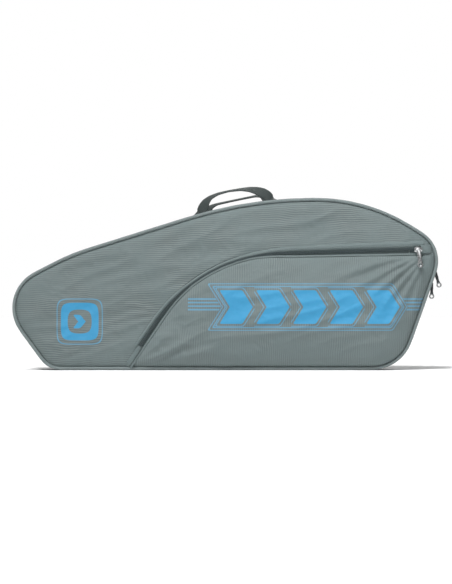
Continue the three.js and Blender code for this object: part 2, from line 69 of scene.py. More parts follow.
PIPE_RADIUS = 2.9 * MM
PIPE_Y = 33.8 * MM
SEAM_INSET = 5.4 * MM
SEAM_Y = 33.2 * MM
STITCH_PITCH = 4.0 * MM
TOOTH_PITCH = 1.9 * MM
CLOTH_GRID = 3.6 * MM
LINE_STEP = 1.2 * MM
CREASE_HEIGHT = 1.3 * MM


# ---- smooth lines in the XZ plane ----


def flat_points(name):
    """The (x, z) of a CAD node's vertices."""
    mesh = frame["nodes"][name].data
    rows = np.zeros(3 * len(mesh.vertices))
    mesh.vertices.foreach_get("co", rows)
    return rows.reshape(-1, 3)[:, [0, 2]]


def tree_of(points):
    """A search tree over rows of (x, z)."""
    tree = kdtree.KDTree(len(points))
    for index, (x, z) in enumerate(points):
        tree.insert((x, 0, z), index)
    tree.balance()
    return tree


def lengths(points):
    """The distance along a line to each of its points."""
    return np.concatenate([[0], np.cumsum(np.linalg.norm(np.diff(points, axis=0), axis=1))])


def unit(rows):
    return rows / np.linalg.norm(rows, axis=1)[:, None]


def ring_of(points):
    """The points with the first one again at the end."""
    return np.vstack([points, points[:1]])


def to_the_right(along):
    """Directions in the XZ plane, turned a quarter to the right."""
    return np.column_stack([along[:, 1], -along[:, 0]])


def resample(points, step, closed):
    """The same line with evenly spaced points about a step apart."""
    line = ring_of(points) if closed else np.asarray(points, float)
    stations = lengths(line)
    wanted = np.linspace(0, stations[-1], max(2, round(stations[-1] / step)) + 1)
    if closed:
        wanted = wanted[:-1]
    return np.column_stack([np.interp(wanted, stations, column) for column in line.T])


def smoothed(points, width, step, closed):
    """An evenly spaced line with its corners rounded over a width."""
    points = resample(points, step, closed)
    reach = int(3 * width / step)
    weights = np.exp(-0.5 * (np.arange(-reach, reach + 1) * step / width) ** 2)
    weights /= weights.sum()
    ends = {"mode": "wrap"} if closed else {"mode": "reflect", "reflect_type": "odd"}
    wide = np.pad(points, ((reach, reach), (0, 0)), **ends)
    return np.column_stack([np.convolve(column, weights, "valid") for column in wide.T])


class Run:
    """A line in the XZ plane. Its normals point to the right of its direction."""

    def __init__(self, points, closed):
        self.points = points
        self.closed = closed
        if closed:
            self.along = unit(np.roll(points, -1, axis=0) - np.roll(points, 1, axis=0))
        else:
            self.along = unit(np.gradient(points, axis=0))
        self.normals = to_the_right(self.along)
        self.stations = lengths(ring_of(points) if closed else points)
        self.length = self.stations[-1]
        self.tree = tree_of(points)

    def at(self, stations):
        """(points, directions, normals) at these stations."""
        rows = np.hstack([self.points, self.along])
        if self.closed:
            stations = np.mod(stations, self.length)
            rows = ring_of(rows)
        found = np.column_stack([np.interp(stations, self.stations, column) for column in rows.T])
        way = unit(found[:, 2:])
        return found[:, :2], way, to_the_right(way)

    def nearest(self, points):
        """(distance to the line, signed: positive on the right; station) of each point."""
        found = [self.tree.find((x, 0, z))[1] for x, z in points]
        gap = points - self.points[found]
        extra = np.sum(gap * self.along[found], axis=1)
        return np.sum(gap * self.normals[found], axis=1), self.stations[found] + extra

    def station(self, x, z):
        """The station nearest to one point."""
        return self.stations[self.tree.find((x, 0, z))[1]]

    def moved(self, distance):
        """The same line, moved to the right."""
        return Run(self.points + self.normals * distance, self.closed)


def outline_run():
    """The outer edge of the piping, anticlockwise."""
    flat = flat_points("front_piping")
    hull = flat[convex_hull_2d([Vector(p) for p in flat])]
    turned = np.roll(hull, -1, axis=0)
    if np.sum(hull[:, 0] * turned[:, 1] - turned[:, 0] * hull[:, 1]) < 0:
        hull = hull[::-1]
    return Run(smoothed(hull, 6 * MM, LINE_STEP, True), True)


def middle_line(upper, lower):
    """The line where two zip halves meet, from the upper half's foot and the vertices that face."""
    flat = flat_points(upper)
    tree = tree_of(flat)
    met = [tuple(flat[np.argmin(flat[:, 1])])]
    for name in lower:
        for x, z in flat_points(name):
            near, _, distance = tree.find((x, 0, z))
            if distance < 0.35 * MM:
                met.append(((x + near[0]) / 2, (z + near[2]) / 2))
    return smoothed(np.array(sorted(met)), 5 * MM, LINE_STEP, False)


def extended(points, before, after):
    """The line with straight pieces of these lengths added before and after it."""
    first, last = unit(np.array([points[0] - points[4], points[-1] - points[-5]]))
    line = [points[0] + before * first, points, points[-1] + after * last]
    return resample(np.vstack(line), LINE_STEP, False)


outline = outline_run()
lower_coils = ["pocket_zip_coil_lower", "pocket_zip_coil_lower_end"]
pocket_middle = middle_line("pocket_zip_coil_upper", lower_coils)
pocket_zip = Run(extended(pocket_middle, 50 * MM, 22 * MM), False)
seam = outline.moved(-SEAM_INSET)


# ---- mesh helpers ----


def new_object(name, data):
    obj = bpy.data.objects.new(name, data)
    bpy.context.scene.collection.objects.link(obj)
    return obj


@contextmanager
def reshaped(mesh):
    """Opens a mesh as a bmesh and writes it back."""
    work = bmesh.new()
    work.from_mesh(mesh)
    yield work
    work.to_mesh(mesh)
    work.free()


def mesh_object(name, points, faces, corner_uv):
    """A mesh from rows of points and faces. corner_uv holds one row for each face corner."""
    mesh = bpy.data.meshes.new(name)
    mesh.from_pydata(np.asarray(points).tolist(), [], faces)
    layer = mesh.uv_layers.new(name="rest")
    layer.data.foreach_set("uv", np.asarray(corner_uv, np.float32).ravel())
    mesh.update()
    return new_object(name, mesh)


def shade(obj, degrees=45):
    """Smooth shading that keeps the edges sharper than this."""
    with reshaped(obj.data) as work:
        for face in work.faces:
            face.smooth = True
        for edge in work.edges:
            sharp = len(edge.link_faces) == 2 and edge.calc_face_angle(0) > math.radians(degrees)
            edge.smooth = not sharp
    return obj


def sweep(name, centres, across, up, profile, closed=False):
    """Carries a closed profile, rows of (across, up), along a line. profile may change on the way."""
    rings = len(centres)
    profile = np.asarray(profile, float)
    if profile.ndim == 2:
        profile = np.repeat(profile[None], rings, axis=0)
    sides = profile.shape[1]
    across, up = (np.broadcast_to(way, centres.shape)[:, None] for way in (across, up))
    points = (centres[:, None] + across * profile[:, :, :1] + up * profile[:, :, 1:]).reshape(-1, 3)
    stations = lengths(ring_of(centres))
    girth = lengths(ring_of(profile[0]))
    faces = []
    uv = []
    for i in range(rings if closed else rings - 1):
        here = i * sides
        there = ((i + 1) % rings) * sides
        for j in range(sides):
            k = (j + 1) % sides
            faces.append((here + j, here + k, there + k, there + j))
            uv += [(stations[i], girth[j]), (stations[i], girth[j + 1])]
            uv += [(stations[i + 1], girth[j + 1]), (stations[i + 1], girth[j])]
    if not closed:
        for ring, order in ((0, range(sides - 1, -1, -1)), (rings - 1, range(sides))):
            faces.append([ring * sides + j for j in order])
            uv += [(stations[ring], girth[j]) for j in order]
    obj = mesh_object(name, points, faces, uv)
    with reshaped(obj.data) as work:
        bmesh.ops.recalc_face_normals(work, faces=work.faces)
    return obj


def lifted(flat, y):
    """Points of the XZ plane as points of space at depth y, one number or one for each."""
    return np.column_stack([flat[:, 0], np.broadcast_to(y, len(flat)), flat[:, 1]])


def round_profile(radius, sides, squash=1.0):
    """A circle, or an ellipse, as a profile."""
    angles = np.arange(sides) * 2 * math.pi / sides
    return np.column_stack([radius * np.cos(angles), radius * squash * np.sin(angles)])


def soft_strip(width, thickness, low):
    """A flat strip with rounded edges as a profile, from low to low + width across."""
    r = thickness / 2
    angles = np.radians([90, 135, 180, 225, 270])
    left = [(low + r + r * math.cos(a), r + r * math.sin(a)) for a in angles]
    right = [(low + width - r - r * math.cos(a), r + r * math.sin(a)) for a in angles[::-1]]
    return np.array(left + right)


def noise_row(first, second, seed):
    """Smooth noise, from -1 to 1, at rows of two coordinates."""
    first, second = np.broadcast_arrays(first, second)
    rows = np.column_stack([first, second, np.zeros(len(first))]) + seed * np.array([7.3, 3.1, 1.7])
    return np.array([noise.noise(Vector(row)) for row in rows]) * 1.6


def flat_noise(flat, wide, high, seed):
    """Noise over rows of (x, z), in patches of about this width and height in millimetres."""
    return noise_row(flat[:, 0] / (wide * MM), flat[:, 1] / (high * MM), seed)


def fading(distance, reach):
    """1 at no distance, and less and less over a reach in millimetres."""
    return np.exp(-distance / (reach * MM))


def joined(name, objects):
    """Joins meshes into one object."""
    whole = new_object(name, bpy.data.meshes.new(name))
    with reshaped(whole.data) as work:
        for obj in objects:
            work.from_mesh(obj.data)
            bpy.data.objects.remove(obj)
    return whole


# ---- materials ----


def srgb(*channels):
    """Linear colour from 0-255 display values."""
    values = [c / 255 for c in channels]
    return [v / 12.92 if v <= 0.04045 else ((v + 0.055) / 1.055) ** 2.4 for v in values] + [1]


def tint(colour, red, green=None, blue=None):
    """A colour made darker or lighter, evenly or by channel."""
    shares = (red, red if green is None else green, red if blue is None else blue)
    return [channel * share for channel, share in zip(colour, shares)] + [1]


class Value:
    """A number that a material works out at each point. Arithmetic on it adds math nodes."""

    def __init__(self, nodes, socket):
        self.nodes = nodes
        self.socket = socket

    def math(self, operation, *others):
        node = self.nodes.add("Math")
        node.operation = operation
        for socket, value in zip(node.inputs, (self, *others)):
            self.nodes.set(socket, value)
        return Value(self.nodes, node.outputs[0])

    def __add__(self, other):
        return self.math("ADD", other)

    def __sub__(self, other):
        return self.math("SUBTRACT", other)

    def __rsub__(self, other):
        return self * -1 + other

    def __mul__(self, other):
        return self.math("MULTIPLY", other)

    def __truediv__(self, other):
        return self.math("DIVIDE", other)

    def __abs__(self):
        return self.math("ABSOLUTE")

    def at_least(self, low):
        return self.math("MAXIMUM", low)

    def at_most(self, high):
        return self.math("MINIMUM", high)

    def wave(self, period):
        """A soft ripple from 0 to 1 along a length in metres."""
        return (self * (2 * math.pi / period)).math("SINE") * 0.5 + 0.5


class Nodes:
    """Short ways to write a material's node tree."""

    def __init__(self, name):
        self.material = bpy.data.materials.new(name)
        self.material.use_nodes = True
        self.tree = self.material.node_tree
        self.tree.nodes.clear()
        self.shader = self.add("BsdfPrincipled")
        self.tree.links.new(self.shader.outputs[0], self.add("OutputMaterial").inputs["Surface"])

    def add(self, kind, **inputs):
        """A new node, with some of its inputs set or linked."""
        node = self.tree.nodes.new("ShaderNode" + kind)
        for name, value in inputs.items():
            self.set(node.inputs[name], value)
        return node

    def set(self, socket, value):
        """Links a Value or a node's output to a socket, or sets a plain value on it."""
        if isinstance(value, Value):
            value = value.socket
        if isinstance(value, bpy.types.NodeSocket):
            self.tree.links.new(value, socket)
        else:
            socket.default_value = value

    def rest(self):
        """The (x, z) of cloth as it lies, in metres, from the UV map."""
        node = self.add("UVMap")
        node.uv_map = "rest"
        return node.outputs[0]

    def split(self, vector, turn=0.0):
        """The first two numbers of a vector, turned about the third."""
        turned = self.add("Mapping", Vector=vector, Rotation=(0, 0, turn))
        node = self.add("SeparateXYZ", Vector=turned.outputs[0])
        return Value(self, node.outputs[0]), Value(self, node.outputs[1])

    def noise(self, vector, scale, detail=2.0):
        return Value(self, self.add("TexNoise", Vector=vector, Scale=scale, Detail=detail).outputs[0])

    def grain(self, scale):
        """Noise fixed to the piece itself."""
        return self.noise(self.add("TexCoord").outputs["Object"], scale)

    def mix(self, share, a, b):
        node = self.add("Mix")
        node.data_type = "RGBA"
        for name, value in (("Factor", share), ("A", a), ("B", b)):
            self.set(node.inputs[name], value)
        return node.outputs["Result"]

    def bump(self, height, distance, strength):
        node = self.add("Bump", Height=height, Distance=distance, Strength=strength)
        self.set(self.shader.inputs["Normal"], node.outputs[0])

    def finish(self, colour, roughness, metallic=0.0, sheen=0.0):
        self.set(self.shader.inputs["Base Color"], colour)
        self.set(self.shader.inputs["Roughness"], roughness)
        self.shader.inputs["Metallic"].default_value = metallic
        self.shader.inputs["Sheen Weight"].default_value = sheen
        return self.material


def cloth_material(name, colour, yarn=1.1 * MM, stripe=0.0, turn=0.0, prints=None):
    """Coated polyester: a fine weave, faint lines across it, slightly uneven dye, and painted sheen in noise
    patches of a lighter, warmer tint.
    """
    nodes = Nodes(name)
    rest = nodes.rest()
    across, along = nodes.split(rest, turn)
    warp, weft = across.wave(yarn), along.wave(yarn)
    height = (warp * (1 - weft)).at_least(weft * (1 - warp))
    patch = nodes.noise(rest, 22.0)
    # Partly uneven dye, partly painted sheen: where this noise is high the colour turns lighter and warmer,
    # standing in for white gloss.
    dye_and_sheen = nodes.noise(rest, 7.0) * 0.5 + patch * 0.5
    base = nodes.mix(dye_and_sheen, tint(colour, 0.82), tint(colour, 1.24, 1.15, 1.13))
    if stripe:
        drift = along + nodes.noise(rest, 30.0) * (5 * MM) + nodes.noise(rest, 9.0) * (16 * MM)
        lines = nodes.mix(drift.wave(LINE_PITCH), tint(colour, 0.42), tint(colour, 1.7, 1.45, 1.4))
        patches = (nodes.noise(rest, 16.0, 3.0) * 2.4 - 0.75).at_least(0.22).at_most(1.0)
        base = nodes.mix(patches * stripe, base, lines)
    if prints:
        base = prints(nodes, rest, base)
    nodes.bump(height + nodes.noise(rest, 80.0, 4.0) * 5.0, 0.3 * MM, 0.7)
    return nodes.finish(base, patch * 0.14 + 0.4, sheen=0.15)


def ribbed_material(name, colour, rib):
    """Webbing or tape with ribs across its length, and painted shade and highlight that follow them."""
    nodes = Nodes(name)
    along, across = nodes.split(nodes.rest())
    height = along.wave(rib) * across.wave(rib * 1.3)
    nodes.bump(height, 0.3 * MM, 0.8)
    # The colour follows the rib height: painted shade in the hollows, painted highlight on the crests.
    return nodes.finish(nodes.mix(height, tint(colour, 0.62), tint(colour, 1.1)), 0.7, sheen=0.1)


def metal_material(name, colour, roughness):
    """Die-cast metal with slight wear and painted dark reflections: noise darkens its colour in patches."""
    nodes = Nodes(name)
    wear_and_reflection = nodes.grain(350.0)
    # Partly wear, partly painted reflection: the noise darkens the colour in patches, standing in for dark
    # surroundings seen in the metal.
    return nodes.finish(nodes.mix(wear_and_reflection, tint(colour, 0.6), colour), wear_and_reflection * 0.18 + roughness, metallic=1.0)


def plain_material(name, colour, roughness, scale=400.0):
    """Nylon, foam or thread with a faint grain."""
    nodes = Nodes(name)
    grain = nodes.grain(scale)
    nodes.bump(grain, 0.2 * MM, 0.4)
    return nodes.finish(nodes.mix(grain, tint(colour, 0.85), colour), roughness)


def lining_material():
    """Silver film quilted in squares."""
    nodes = Nodes("lining_film")
    rest = nodes.rest()
    across, along = nodes.split(rest, math.pi / 4)
    quilt = across.wave(QUILT_PITCH) * along.wave(QUILT_PITCH)
    grain = nodes.noise(rest, 180.0)
    nodes.bump(grain * 0.25 + quilt, 0.8 * MM, 0.7)
    base = nodes.mix(grain, srgb(168, 171, 173), srgb(205, 207, 208))
    return nodes.finish(base, 0.38, metallic=0.55)


QUARTER = math.pi / 2
LINE_PITCH = 3.7 * MM
QUILT_PITCH = 12 * MM
SHELL = srgb(95, 111, 112)
PRINT_BLUE = srgb(42, 142, 188)
PRINT_LINE = srgb(84, 148, 182)

# The front's print: forward-pointing chevrons with two outlines, lines at both ends, and a badge.
MARKS_MIDDLE = (145.5 * MM, 110.5 * MM)
MARK_COUNT = 5
MARK_PITCH = 64 * MM
MARK = {"thick": 40 * MM, "slope": 0.62, "half_height": 29.5 * MM}
BADGE_MIDDLE = (-256 * MM, 85 * MM)
BADGE_HALF = 33 * MM
BADGE_OUTLINE = 6.5 * MM
PRINT_SOFTNESS = 0.35 * MM


def covered(distance, edge=0.0):
    """1 where a signed distance is below edge, with a soft border."""
    return ((distance - edge) / -PRINT_SOFTNESS + 0.5).at_least(0.0).at_most(1.0)


def ring(distance, at, width):
    """1 within half a width of a signed distance."""
    return covered(abs(distance - at), width / 2)


def chevron(u, v, thick, slope, half_height):
    """Signed distance, near enough, to a chevron that points along +u."""
    sides = (abs(abs(v) * slope + u) - thick / 2) / math.sqrt(1 + slope * slope)
    return sides.math("SMOOTH_MAX", abs(v) - half_height, 5 * MM)


def chevron_prints(nodes, rest, base):
    """The row of chevrons with their outlines, and the thin lines that run in and out of it."""
    x, z = nodes.split(rest)
    u = x - MARKS_MIDDLE[0]
    v = z - MARKS_MIDDLE[1]
    tip = MARK["slope"] * MARK["half_height"] / 2
    reach = (MARK_COUNT - 1) / 2
    cell = (u / MARK_PITCH).math("ROUND").at_least(-reach).at_most(reach)
    one = chevron(u - cell * MARK_PITCH - tip, v, **MARK)
    row = {**MARK, "thick": MARK_PITCH * (MARK_COUNT - 1) + MARK["thick"]}
    whole = chevron(u - tip, v, **row)
    outlines = ring(one, 4 * MM, 1.3 * MM)
    outlines = outlines.at_least(ring(whole, 6.5 * MM, 1.6 * MM)).at_least(ring(whole, 11 * MM, 1.3 * MM))
    base = nodes.mix(outlines * 0.85, base, PRINT_LINE)
    base = nodes.mix(covered(one), base, PRINT_BLUE)
    lines = v.wave(6.2 * MM).math("GREATER_THAN", 0.62)
    near = abs(u).math("LESS_THAN", 212 * MM)
    band = abs(v - 5 * MM).math("LESS_THAN", 13 * MM)
    strips = lines * (1 - covered(whole, 13 * MM)) * near * band
    return nodes.mix(strips * 0.75, base, PRINT_LINE)


def badge_print(nodes, rest, base):
    """A round-cornered ring with a chevron in it and a thin outline round it."""
    x, z = nodes.split(rest)
    u = x - BADGE_MIDDLE[0]
    v = z - BADGE_MIDDLE[1]
    flat = abs(u).math("SMOOTH_MAX", abs(v), 26 * MM)
    disc = flat - BADGE_HALF
    hollow = flat - (BADGE_HALF - 12 * MM)
    mark = chevron(u - 4 * MM, v, 13 * MM, 0.8, 12 * MM)
    solid = covered(disc.at_least(hollow * -1)).at_least(covered(mark))
    base = nodes.mix(ring(disc, BADGE_OUTLINE, 1.5 * MM) * 0.85, base, PRINT_LINE)
    return nodes.mix(solid, base, PRINT_BLUE)


MATERIALS = {
    "main": cloth_material("shell_cloth_main", SHELL, stripe=0.75, prints=badge_print),
    "pocket": cloth_material("shell_cloth_pocket", SHELL, stripe=0.5, turn=QUARTER, prints=chevron_prints),
    "back": cloth_material("shell_cloth_back", SHELL),
    "edge": cloth_material("shell_cloth_edge", SHELL, yarn=0.9 * MM),
    "gusset": cloth_material("gusset_cloth", srgb(88, 101, 102)),
    "piping": cloth_material("piping_cloth", srgb(108, 122, 123), yarn=0.9 * MM),
    "tape": ribbed_material("zip_tape_weave", srgb(66, 79, 80), 1.4 * MM),
    "coil": plain_material("zip_coil_nylon", srgb(60, 72, 74), 0.42),
    "webbing": ribbed_material("webbing_weave", srgb(50, 60, 59), 2.4 * MM),
    "thread": plain_material("stitching_thread", srgb(122, 134, 134), 0.6, 900.0),
    "foam": plain_material("foam_core", srgb(214, 214, 208), 0.92, 260.0),
    "lining": lining_material(),
    "silver": metal_material("slider_silver", srgb(206, 208, 209), 0.2),
    "gunmetal": metal_material("slider_gunmetal", srgb(92, 95, 98), 0.3),
}


def dress(obj, material, slot, body=None, replaces=(), pad=None):
    """Gives a piece its material, its body and the CAD nodes that it stands for. slot is not used."""
    obj.data.materials.clear()
    obj.data.materials.append(MATERIALS[material])
    if body:
        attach(obj, body)
    if replaces:
        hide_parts(*replaces)
    return obj


# ---- the bag's skin: how far each point of cloth stands from the middle plane ----


SEAM_CLIMB = 4.4 * MM
PANEL_SWELL = 2.8 * MM
LARGE_WAVES = 1.9 * MM
SMALL_WAVES = 0.6 * MM
SLACK = 1.2 * MM
PANEL_GATHERS = 0.6 * MM
POCKET_WAVES = 1.1 * MM
POCKET_GATHERS = 0.3 * MM
HEM_THICKNESS = 1.9 * MM
HEM_DIP = 1.3 * MM
POCKET_FILL = 15 * MM


def seam_rise(distance):
    """Cloth climbs steeply beside the seam, then slowly towards the middle."""
    return SEAM_CLIMB * (1 - fading(distance, 5.5)) + PANEL_SWELL * (1 - fading(distance, 75))


def puckers(distance, station, seed, depth):
    """Small gathers that run away from a seam and fade."""
    fine = noise_row(station / (11 * MM), distance / (40 * MM), seed) * fading(distance, 13)
    broad = noise_row(station / (38 * MM), distance / (90 * MM), seed + 5) * fading(distance, 42)
    start = 1 - fading(distance, 2.5)
    return start * depth * (fine + 1.5 * broad)


def slack_folds(flat, seed):
    """Shallow ridges of slack cloth that run nearly along the bag, 1 at each crest."""
    turn = math.radians(17)
    along = flat @ np.array([math.cos(turn), math.sin(turn)])
    across = flat @ np.array([-math.sin(turn), math.cos(turn)])
    return 1 - 2.2 * np.abs(noise_row(along / (120 * MM), across / (24 * MM), seed + 13))


def broken_creases(flat, inwards, seed):
    """Short sharp creases, in places and mostly near the seams, as extra height."""
    sway = [flat_noise(flat, 30, 30, seed + k) for k in (21, 22)]
    swayed = flat + 6 * MM * np.column_stack(sway)
    crests = 1 - 3.0 * np.abs(flat_noise(swayed, 34, 13, seed + 23))
    where = np.clip(flat_noise(flat, 80, 80, seed + 24) + 0.35, 0, 1)
    near_seam = 0.3 + 0.7 * fading(inwards, 45)
    return CREASE_HEIGHT * np.maximum(crests, -0.3) * where * near_seam


def skin_level(flat, seed, extra=0.0):
    """Depth of the outer cloth, as a positive number, at rows of (x, z)."""
    signed, station = seam.nearest(flat)
    inwards = np.maximum(-signed, 0)
    swell = extra * (1 - fading(inwards, 50))
    waves = LARGE_WAVES * flat_noise(flat, 120, 75, seed)
    waves += SMALL_WAVES * flat_noise(flat, 46, 30, seed + 3)
    waves += SLACK * slack_folds(flat, seed) + broken_creases(flat, inwards, seed)
    waves *= 1 - fading(inwards, 20)
    return SEAM_Y + seam_rise(inwards) + swell + waves + puckers(inwards, station, seed + 9, PANEL_GATHERS)


# Folds that fan out of one point: the point, then each fold's turn in degrees, start, end, height and
# width. Lengths are in millimetres.
POCKET_CORNER_FAN = (358, 209), [(197, 25, 230, 3.2, 5.5), (208, 14, 170, 5.4, 5.0), (219, 8, 150, 7.4, 4.6),
                                 (231, 8, 150, 6.4, 4.6), (243, 14, 200, 4.2, 5.0), (256, 16, 150, 2.4, 4.0)]
POCKET_FOOT_FAN = (-162, 6), [(15, 45, 200, 2.8, 6.0), (28, 12, 160, 4.6, 5.0), (47, 20, 110, 2.4, 4.0)]
ZIP_BEND_FAN = (-98, 96), [(168, 6, 110, 1.8, 3.0), (181, 8, 105, 2.8, 2.6), (197, 10, 130, 2.0, 3.0)]


def eased(share):
    """A smooth step from 0 to 1."""
    share = np.clip(share, 0, 1)
    return share * share * (3 - 2 * share)


def drag_folds(flat, corner, rows):
    """Drag lines in cloth, as extra height."""
    total = np.zeros(len(flat))
    away = flat - np.array(corner) * MM
    for degrees, start, end, height, thin in rows:
        turn = math.radians(degrees)
        way = np.array([math.cos(turn), math.sin(turn)])
        along = away @ way
        beside = away @ np.array([-way[1], way[0]]) + 5 * MM * np.sin(along / (60 * MM))
        width = thin * MM + 0.055 * np.maximum(along, 0)
        shown = eased((along - start * MM) / (35 * MM)) * eased((end * MM - along) / (80 * MM))
        ridge = np.exp(-1.5 * np.sqrt((beside / width) ** 2 + 0.04)) * np.cos(1.9 * beside / width)
        total += height * MM * ridge * shown
    return total


def front_level(flat):
    return skin_level(flat, 1) + drag_folds(flat, *ZIP_BEND_FAN)


def back_level(flat):
    return skin_level(flat, 4, 3 * MM)


HEM_WIDTH = 4.6 * MM
# How far each hem stays from the middle of the pocket zip: (x, upper gap, lower gap), in millimetres.
HEM_GAPS = np.array([(-160, 4.6, 4.8), (-118, 4.2, 4.4), (-62, 0.7, 0.9), (45, 0.6, 0.8), (64, 1.2, 1.4),
                     (92, 3.2, 2.6), (130, 4.2, 3.6), (210, 4.4, 4.6), (345, 4.2, 6.2)])


def hem_gap(flat, column):
    """The upper (1) or lower (2) gap beside points of the zip."""
    return np.interp(flat[:, 0] / MM, HEM_GAPS[:, 0], HEM_GAPS[:, column]) * MM


def pocket_level(flat):
    """Depth of the pocket's cloth: flat beside its zip, full in the middle, in at the seams."""
    below_zip = np.maximum(pocket_zip.nearest(flat)[0], 0)
    inwards = np.maximum(-seam.nearest(flat)[0], 0)
    fill = (1 - fading(below_zip, 36)) * (1 - fading(inwards, 34))
    below_hem = np.maximum(below_zip - hem_gap(flat, 2) - HEM_WIDTH, 0)
    hem = HEM_THICKNESS * np.minimum(inwards / (8 * MM), 1) - HEM_DIP * fading(below_hem, 2.2)
    waves = POCKET_WAVES * flat_noise(flat, 90, 60, 21) * fill
    gathers = puckers(below_zip, flat[:, 0] + flat[:, 1], 31, POCKET_GATHERS)
    drags = drag_folds(flat, *POCKET_CORNER_FAN) + drag_folds(flat, *POCKET_FOOT_FAN)
    return front_level(flat) + hem + POCKET_FILL * fill + waves + gathers + drags


# ---- cloth sheets ----


def inside(points, loop):
    """Which points lie inside a closed loop."""
    x, z = points[:, 0], points[:, 1]
    within = np.zeros(len(points), bool)
    for (ax, az), (bx, bz) in zip(loop, np.roll(loop, -1, axis=0)):
        if az != bz:
            crosses = (az > z) != (bz > z)
            within ^= crosses & (x < (bx - ax) * (z - az) / (bz - az) + ax)
    return within


def cloth_sheet(name, loop, level, thickness, side, grid=CLOTH_GRID):
    """Cloth over the inside of an anticlockwise loop, with its outer face at a given depth."""
    rim = resample(loop, grid, True)
    low, high = rim.min(axis=0), rim.max(axis=0)
    rows = []
    for j, z in enumerate(np.arange(low[1], high[1], grid * 0.866)):
        x = np.arange(low[0] + (j % 2) * grid / 2, high[0], grid)
        rows.append(np.column_stack([x, np.full(len(x), z)]))
    spots = np.vstack(rows)
    spots = spots[inside(spots, rim)]
    spots = spots[-Run(rim, True).nearest(spots)[0] > 0.6 * grid]
    corners = [Vector(p) for p in np.vstack([rim, spots])]
    edges = [(i, (i + 1) % len(rim)) for i in range(len(rim))]
    found, _, faces, *_ = delaunay_2d_cdt(corners, edges, [], 1, 1e-7)
    flat = np.array([v[:] for v in found])
    depth = level(flat)
    points = np.vstack([lifted(flat, side * depth), lifted(flat, side * (depth - thickness))])
    count = len(flat)
    faces = [tuple(face) for face in faces]
    walls = {(a, b) for face in faces for a, b in zip(face, face[1:] + face[:1])}
    solid = faces + [tuple(count + i for i in reversed(face)) for face in faces]
    solid += [(b, a, a + count, b + count) for a, b in walls if (b, a) not in walls]
    if side == BACK:
        solid = [tuple(reversed(face)) for face in solid]
    corner_uv = np.vstack([flat, flat])[[i for face in solid for i in face]]
    return shade(mesh_object(name, points, solid, corner_uv), 60)


FOAM = 2.6 * MM
FOAM_DEPTH = 1.3 * MM
FILM = 0.5 * MM
FILM_DEPTH = 4.2 * MM
COARSE = 7 * MM
LEVELS = {"front": front_level, "back": back_level}
PANEL_CLOTH = {"front": "main", "back": "back"}


def front_and_back_cloth():
    """The two main panels."""
    for side, prefix in SIDES:
        panel = cloth_sheet(f"{prefix}_cloth", seam.points, LEVELS[prefix], 1 * MM, side)
        dress(panel, PANEL_CLOTH[prefix], "shell_cloth", f"{prefix}_shell", [f"{prefix}_panel"], pad=0.35)


def inner_layers():
    """Foam and silver film behind each panel."""
    rim = seam.moved(-3.5 * MM).points
    for side, prefix in SIDES:
        body = f"{prefix}_shell"
        level = LEVELS[prefix]
        core = cloth_sheet(f"{prefix}_foam_core", rim, lambda p: level(p) - FOAM_DEPTH, FOAM, side, COARSE)
        dress(core, "foam", "foam", body, [f"{prefix}_foam"], pad=0.6)
        film = cloth_sheet(f"{prefix}_film", rim, lambda p: level(p) - FILM_DEPTH, FILM, side, COARSE)
        dress(film, "lining", "lining", body, [f"{prefix}_lining"])


def pocket_loop():
    """The pocket's edge: along the bottom and right seams, and back along the zip."""
    _, _, normal = pocket_zip.at(pocket_zip.stations)
    below = hem_gap(pocket_zip.points, 2) + HEM_WIDTH - 0.4 * MM
    edge = pocket_zip.points + normal * below[:, None]
    edge = edge[inside(edge, seam.points)]
    start, end = seam.station(*edge[0]), seam.station(*edge[-1])
    if end < start:
        end += seam.length
    along_seam = seam.at(np.arange(start, end, 2 * MM))[0]
    return np.vstack([along_seam, edge[::-1]])


JOINTS = {joint["name"]: joint for joint in frame["joints"]}
FOLD = JOINTS["pocket_lip_fold"]
FOLD_POINT = Vector(FOLD["pos_m"])
FOLD_UP = Vector((-FOLD["axis"][2], 0, FOLD["axis"][0]))
HALF_FOLD = FOLD_UP * 24 * MM
LIP_BEND = ("front_shell", "pocket_lip", FOLD_POINT - HALF_FOLD, FOLD_POINT + HALF_FOLD)


def pocket_cloth():
    """One piece of cloth, in place of the pocket's body and lip."""
    cloth = cloth_sheet("pocket_cloth", pocket_loop(), pocket_level, 1 * MM, FRONT, 3 * MM)
    dress(cloth, "pocket", "shell_cloth", replaces=["pocket_body", "pocket_lip"], pad=0.4)
    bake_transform(cloth)


# ---- seams, gussets ----


def edge_frames(stations, y, offset=0.0):
    """(centres, outward vectors) along the outline, inset by an offset, at depth y."""
    flat, _, normal = outline.at(stations)
    return lifted(flat - normal * offset, y), lifted(normal, 0)


def pipings():
    """A cord sewn into cloth all round each panel."""
    stations = np.arange(0, outline.length, 2.4 * MM)
    circle = round_profile(PIPE_RADIUS, 14)
    for side, prefix in SIDES:
        centres, outwards = edge_frames(stations, side * PIPE_Y, PIPE_RADIUS)
        ripple = flat_noise(centres[:, [0, 2]], 9, 9, 41 + side)
        profile = circle[None] * (1 + 0.035 * ripple - 0.03)[:, None, None]
        tube = sweep(f"{prefix}_piping_cord", centres, OUT[side], outwards, profile, True)
        dress(shade(tube), "piping", "piping", f"{prefix}_shell", [f"{prefix}_piping"])


def zip_span():
    """Stations where the main zip's coil starts and ends, going up the right edge first."""
    flat = flat_points("front_zip_coil")
    right = flat[flat[:, 0] > 0]
    left = flat[flat[:, 0] < 0]
    start = outline.station(*right[np.argmin(right[:, 1])])
    end = outline.station(*left[np.argmin(left[:, 1])])
    return start, end + (outline.length if end < start else 0)


ZIP_START, ZIP_END = zip_span()
